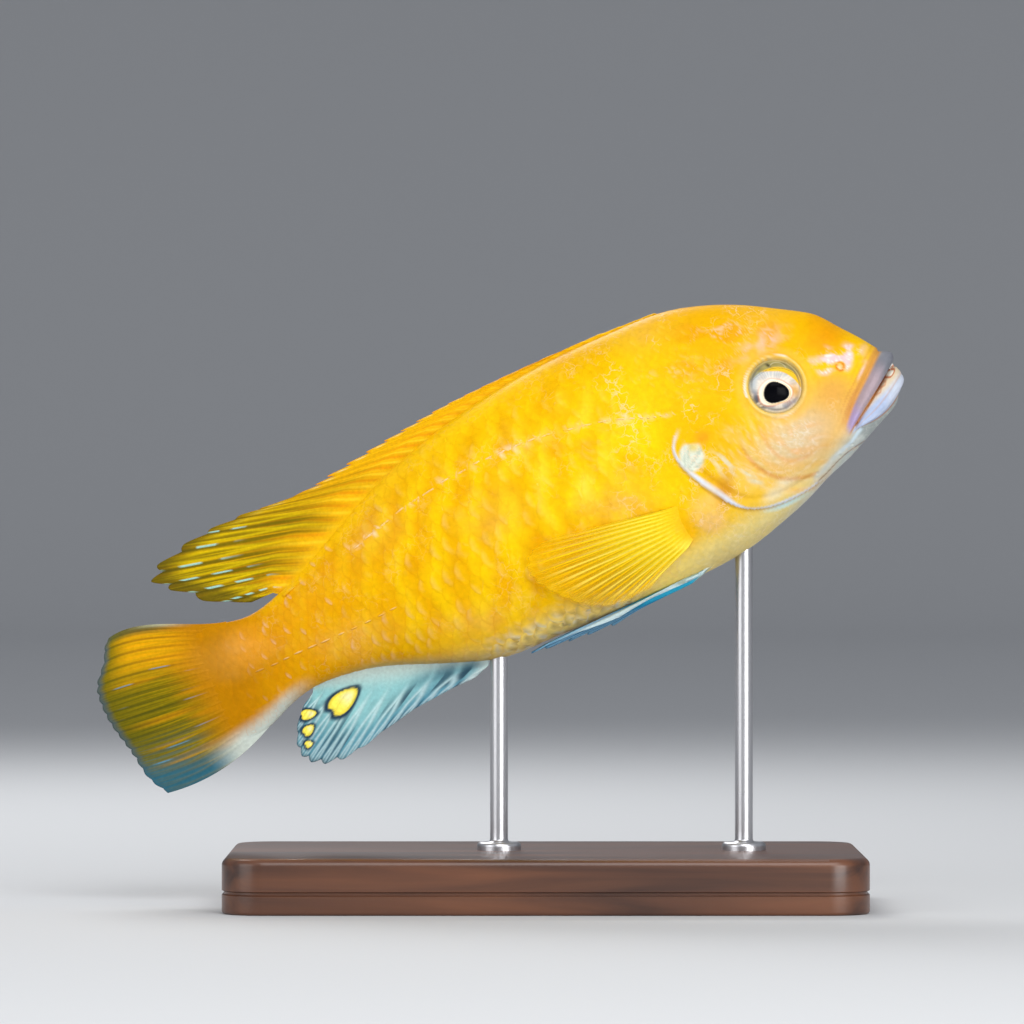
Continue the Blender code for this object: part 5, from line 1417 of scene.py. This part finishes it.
def threaded(tree, given):
    """Pale broken threads over a paint: the edges of bent cells, kept where a slow noise is high."""
    where = knot(tree, "TexCoord").outputs["Object"]
    noise = knot(tree, "TexNoise", {"Vector": where, "Scale": 620, "Detail": 3}).outputs["Color"]
    centred = knot(tree, "VectorMath", {0: noise, 1: (0.5, 0.5, 0.5)}, "SUBTRACT").outputs["Vector"]
    moved = knot(tree, "VectorMath", {0: centred, "Scale": 3.2 * MM}, "SCALE").outputs["Vector"]
    bent = knot(tree, "VectorMath", {0: moved, 1: where}, "ADD").outputs["Vector"]
    cells = knot(tree, "TexVoronoi", {"Vector": bent, "Scale": 560})
    cells.feature = "DISTANCE_TO_EDGE"
    thin = knot(tree, "MapRange", {"Value": cells.outputs["Distance"], "From Max": 0.06,
                                   "To Min": 1.0, "To Max": 0.0}).outputs["Result"]
    slow = knot(tree, "TexNoise", {"Vector": where, "Scale": 210, "Detail": 4}).outputs["Fac"]
    kept = knot(tree, "MapRange", {"Value": slow, "From Min": 0.5, "From Max": 0.66,
                                   "To Max": 0.56}).outputs["Result"]
    broken = knot(tree, "Math", {0: thin, 1: kept}, "MULTIPLY").outputs[0]
    share = knot(tree, "Math", {0: broken, 1: given["Share"]}, "MULTIPLY").outputs[0]
    mix = knot(tree, "Mix")
    mix.data_type = "RGBA"
    tree.links.new(share, mix.inputs[0])
    tree.links.new(given["Paint"], mix.inputs[6])
    mix.inputs[7].default_value = (*colour((240, 214, 178)), 1)
    return mix.outputs[2]


def finish(name, values):
    """A new material, its node tree and its shader, with values set on the shader's sockets."""
    material = bpy.data.materials.new(name)
    material.use_nodes = True
    shader = material.node_tree.nodes["Principled BSDF"]
    for key, value in values.items():
        shader.inputs[key].default_value = value
    return material, material.node_tree, shader


def bumps(tree, shader, height, strength, depth):
    """Lets a height raise bumps on a shader's surface, depth being in millimetres."""
    bump = knot(tree, "Bump", {"Height": height, "Strength": strength, "Distance": depth * MM})
    tree.links.new(bump.outputs["Normal"], shader.inputs["Normal"])


def painted(name, roughness, mottle, size, strength, grain, coat=0.0, spec=0.3, clear=None,
            threads=None):
    """A paint kept on vertices, mottled at a size and strength, with threads where asked, under a
    grain of fine bumps given as strength, scale and depth. clear is a fin's web's own alpha."""
    material, tree, shader = finish(name, {"Roughness": roughness, "Coat Weight": coat,
                                           "Coat Roughness": 0.12, "Specular IOR Level": spec})
    given = {"Paint": on_vertices(tree, "tint")["Color"], "Size": size, "Strength": strength}
    paint = knot(tree, "Group", given, group=mottle).outputs["Paint"]
    if threads:
        given = {"Paint": paint, "Share": on_vertices(tree, "vein")["Fac"]}
        paint = knot(tree, "Group", given, group=threads).outputs["Paint"]
    tree.links.new(paint, shader.inputs["Base Color"])
    where = knot(tree, "TexCoord").outputs["Object"]
    noise = knot(tree, "TexNoise", {"Vector": where, "Scale": grain[1], "Detail": 3})
    bumps(tree, shader, noise.outputs["Fac"], grain[0], grain[2])
    if clear is not None:
        solid = knot(tree, "MapRange", {"Value": on_vertices(tree, "ray")["Fac"], "To Min": clear})
        tree.links.new(solid.outputs["Result"], shader.inputs["Alpha"])
    return material


def stretched_noise(tree, shader, stretch, detail, distortion, rough, bump):
    """Noise drawn out by three scales. It varies a shader's roughness over a range and raises bumps
    of a strength and depth. Gives the noise."""
    where = knot(tree, "TexCoord").outputs["Object"]
    drawn = knot(tree, "Mapping", {"Vector": where, "Scale": stretch}).outputs["Vector"]
    noise = knot(tree, "TexNoise", {"Vector": drawn, "Scale": 1.0, "Detail": detail,
                                    "Distortion": distortion}).outputs["Fac"]
    spread = knot(tree, "MapRange", {"Value": noise, "To Min": rough[0], "To Max": rough[1]})
    tree.links.new(spread.outputs["Result"], shader.inputs["Roughness"])
    bumps(tree, shader, noise, *bump)
    return noise


def wood_material():
    """Dark lacquered wood, its grain drawn out along the base."""
    material, tree, shader = finish("lacquered_wood", {"Coat Weight": 0.35, "Coat Roughness": 0.2})
    grain = stretched_noise(tree, shader, (18, 260, 260), 8, 0.6, (0.32, 0.5), (0.25, 0.05))
    stain = knot(tree, "ValToRGB", {"Fac": grain})
    for stop, (spot, paint) in zip(stain.color_ramp.elements,
                                   ((0.3, (52, 28, 18)), (0.72, (112, 66, 38)))):
        stop.position = spot
        stop.color = (*colour(paint), 1)
    tree.links.new(stain.outputs["Color"], shader.inputs["Base Color"])
    return material


def steel_material():
    """Brushed steel, its marks running round the rod."""
    material, tree, shader = finish("brushed_steel",
                                    {"Base Color": (0.58, 0.58, 0.6, 1), "Metallic": 1.0})
    stretched_noise(tree, shader, (300, 300, 9000), 2, 0, (0.22, 0.45), (0.15, 0.02))
    return material


# The stand: the base's length, width and height, its corners and edges, and the rods
STAND_BASE = (92.0, 54.0, 8.0)
BASE_CORNER = 6.0
BASE_ROUND = 1.1
ROD_RADIUS, ROD_FOOT_RADIUS, ROD_FOOT = 1.3, 3.2, 1.2
ROD_FLANGE_ROUND, ROD_FILLET = 0.6, 0.4
ROD_SPOKES = 48
ROD_STATIONS = {"front": 31.0, "rear": 69.8}

# The set, in metres: each lamp's name, place, size and watts, then the camera and what lamps face
LAMPS = (
    ("key", (0.12, -0.52, 0.48), 0.45, 2.65), ("fill", (-0.5, -0.4, 0.2), 0.4, 1.2),
    ("low", (0.34, -0.5, 0.04), 0.3, 2.2), ("rim", (-0.15, 0.4, 0.45), 0.3, 1.8),
)
LAMP_AIM = (0.0, 0.0, 0.055)
CAMERA_PLACE = (-0.0048, -0.99, 0.057)
CAMERA_LENS, CAMERA_SENSOR = 240.0, 36.0
FLOOR_HALF_WIDTH, FLOOR_FLAT, FLOOR_BEND, FLOOR_RUN = 12.0, 2.2, 0.5, 4.6
FLOOR_ROWS, FLOOR_COLUMNS = 161, 3


def build_base(material):
    """The base: a rounded rectangle carried up a profile with rounded lower and upper edges."""
    length, width, height = STAND_BASE
    turn = np.linspace(0, 2 * math.pi, 97)[:-1]
    quarter = np.floor(turn / (math.pi / 2) + 1e-9)
    inner = (turn - quarter * math.pi / 2) / (math.pi / 2)
    angle = (quarter + ramp(inner, 0.08, 0.92)) * math.pi / 2
    cx = np.where((quarter == 0) | (quarter == 3), 1, -1) * (length / 2 - BASE_CORNER)
    cy = np.where(quarter < 2, 1, -1) * (width / 2 - BASE_CORNER)
    bend = np.linspace(0, math.pi / 2, 9)
    low = [(0.5 * (1 - math.sin(b)), 0.5 * (1 - math.cos(b))) for b in bend]
    high = [(BASE_ROUND * (1 - math.cos(b)), height - BASE_ROUND * (1 - math.sin(b))) for b in bend]
    groove = [(0.0, height * 0.34), (0.35, height * 0.36), (0.35, height * 0.4), (0.0, height * 0.42)]
    profile = np.array(low + groove + high)
    reach = BASE_CORNER - profile[:, 0, None]
    points = np.stack(np.broadcast_arrays(cx + reach * np.cos(angle), cy + reach * np.sin(angle),
                                          profile[:, 1, None]), axis=-1) * MM
    rows, columns = points.shape[:2]
    faces = closed_tube(rows, columns)
    base = mesh_piece("fine_stand_base", points, faces, material)
    base.data.set_sharp_from_angle(angle=math.radians(40))
    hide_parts("stand_base")


def build_rod(word, station, material):
    """A rod turned about its own line: a flanged foot with a rounded edge, then a straight rod up
    into the belly, its top hidden in the skin."""
    belly = place((station, 0.0, float(spline(BELLY, station)) + 1.2))
    x, top = belly[0] / MM, belly[2] / MM
    foot = STAND_BASE[2]
    bend = np.linspace(0, math.pi / 2, 7)
    profile = [(foot, ROD_FOOT_RADIUS), (foot + ROD_FOOT * 0.5, ROD_FOOT_RADIUS)]
    profile += [(foot + ROD_FOOT * (0.5 + 0.5 * math.sin(b)),
                 ROD_FOOT_RADIUS - ROD_FLANGE_ROUND * (1 - math.cos(b))) for b in bend]
    profile += [(foot + ROD_FOOT + ROD_FILLET * (1 - math.cos(b)),
                 ROD_RADIUS + ROD_FILLET * (1 - math.sin(b))) for b in bend]
    profile += [(foot + 3, ROD_RADIUS), (top, ROD_RADIUS)]
    z, r = np.array(profile).T[:, :, None]
    turn = np.linspace(0, 2 * math.pi, ROD_SPOKES, endpoint=False)[None]
    points = np.stack(np.broadcast_arrays(x + r * np.cos(turn), r * np.sin(turn), z), axis=-1) * MM
    faces = closed_tube(len(profile), ROD_SPOKES)
    rod = mesh_piece(f"fine_stand_rod_{word}", points, faces, material)
    rod.data.set_sharp_from_angle(angle=math.radians(40))
    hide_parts(f"stand_rod_{word}")


def floor_sheet():
    """A flat floor that bends up into a backdrop at each end, as one swept sheet."""
    run = np.linspace(-FLOOR_RUN, FLOOR_RUN, FLOOR_ROWS)[:, None]
    w = np.linspace(-FLOOR_HALF_WIDTH, FLOOR_HALF_WIDTH, FLOOR_COLUMNS)[None]
    flat, bend = FLOOR_FLAT, FLOOR_BEND
    far = np.abs(run)
    turn = np.clip((far - flat) / bend, 0, math.pi / 2)
    y = np.sign(run) * (np.minimum(far, flat) + bend * np.sin(turn))
    z = bend * (1 - np.cos(turn)) + np.clip(far - flat - bend * math.pi / 2, 0, None)
    points = np.stack(np.broadcast_arrays(w, y, z), axis=-1)
    mesh = bpy.data.meshes.new("floor")
    faces = [f[::-1] for f in grid_faces(FLOOR_ROWS, FLOOR_COLUMNS)]
    mesh.from_pydata(points.reshape(-1, 3), [], faces)
    mesh.shade_smooth()
    pale, _, _ = finish("pale_floor", {"Base Color": (0.62, 0.63, 0.64, 1), "Roughness": 0.85})
    mesh.materials.append(pale)
    floor = bpy.data.objects.new("floor", mesh)
    bpy.context.scene.collection.objects.link(floor)


def stage_set():
    """The floor, soft lamps, a pale sky and the camera at the photo's angle."""
    floor_sheet()
    for name, spot, size, power in LAMPS:
        lamp = bpy.data.lights.new(name, "AREA")
        lamp.energy, lamp.size = power, size
        obj = bpy.data.objects.new(name, lamp)
        obj.location = spot
        aim = Vector(LAMP_AIM) - Vector(spot)
        obj.rotation_euler = aim.to_track_quat("-Z", "Y").to_euler()
        bpy.context.scene.collection.objects.link(obj)
    world = bpy.data.worlds.new("studio")
    world.use_nodes = True
    world.node_tree.nodes["Background"].inputs["Color"].default_value = (0.9, 0.93, 1.0, 1)
    world.node_tree.nodes["Background"].inputs["Strength"].default_value = 0.4
    bpy.context.scene.world = world
    bpy.context.scene.view_settings.view_transform = "Standard"
    eye = bpy.data.cameras.new("camera")
    eye.lens, eye.sensor_width = CAMERA_LENS, CAMERA_SENSOR
    eye.clip_start, eye.clip_end = 0.01, 10.0
    camera = bpy.data.objects.new("camera", eye)
    camera.location = CAMERA_PLACE
    camera.rotation_euler = (math.pi / 2, 0, 0)
    bpy.context.scene.collection.objects.link(camera)
    bpy.context.scene.camera = camera


def main():
    """Materials, then the fish's pieces, the stand and the set."""
    mottle = paint_group("mottle", mottled, {"Size": 900.0, "Strength": 0.1})
    threads = paint_group("threads", threaded, {"Share": 0.0})
    flesh = painted("flesh", 0.42, mottle, 1500, 0.06, (0.3, 5200, 0.04), spec=0.045, threads=threads)
    scaly = painted("scale", 0.38, mottle, 1300, 0.08, (0.35, 4200, 0.03), spec=0.045, threads=threads)
    web = painted("fin_web", 0.45, mottle, 2200, 0.1, (0.3, 6000, 0.03), spec=0.08, clear=0.93)
    thin = painted("thin_web", 0.4, mottle, 2200, 0.08, (0.3, 6000, 0.03), spec=0.1, clear=0.15)
    wet = painted("eye", 0.16, mottle, 3500, 0.04, (0.02, 3000, 0.01), spec=0.03)
    bone = painted("tooth", 0.3, mottle, 3000, 0.05, (0.1, 8000, 0.01), coat=0.3)
    build_skin(flesh)
    big, small = scaled_places()
    for side, word in SIDES:
        scale_coat(f"scales_{word}", side, big, SCALE_LENGTH, SCALE_ROW, scaly)
        scale_coat(f"small_scales_{word}", side, small, SMALL_SCALE, SMALL_ROW, scaly)
        build_side_line(side, word, flesh)
        build_eye(side, word, wet)
    build_fins(web, thin)
    build_teeth(bone)
    build_base(wood_material())
    steel = steel_material()
    for word, station in ROD_STATIONS.items():
        build_rod(word, station, steel)
    stage_set()


main()
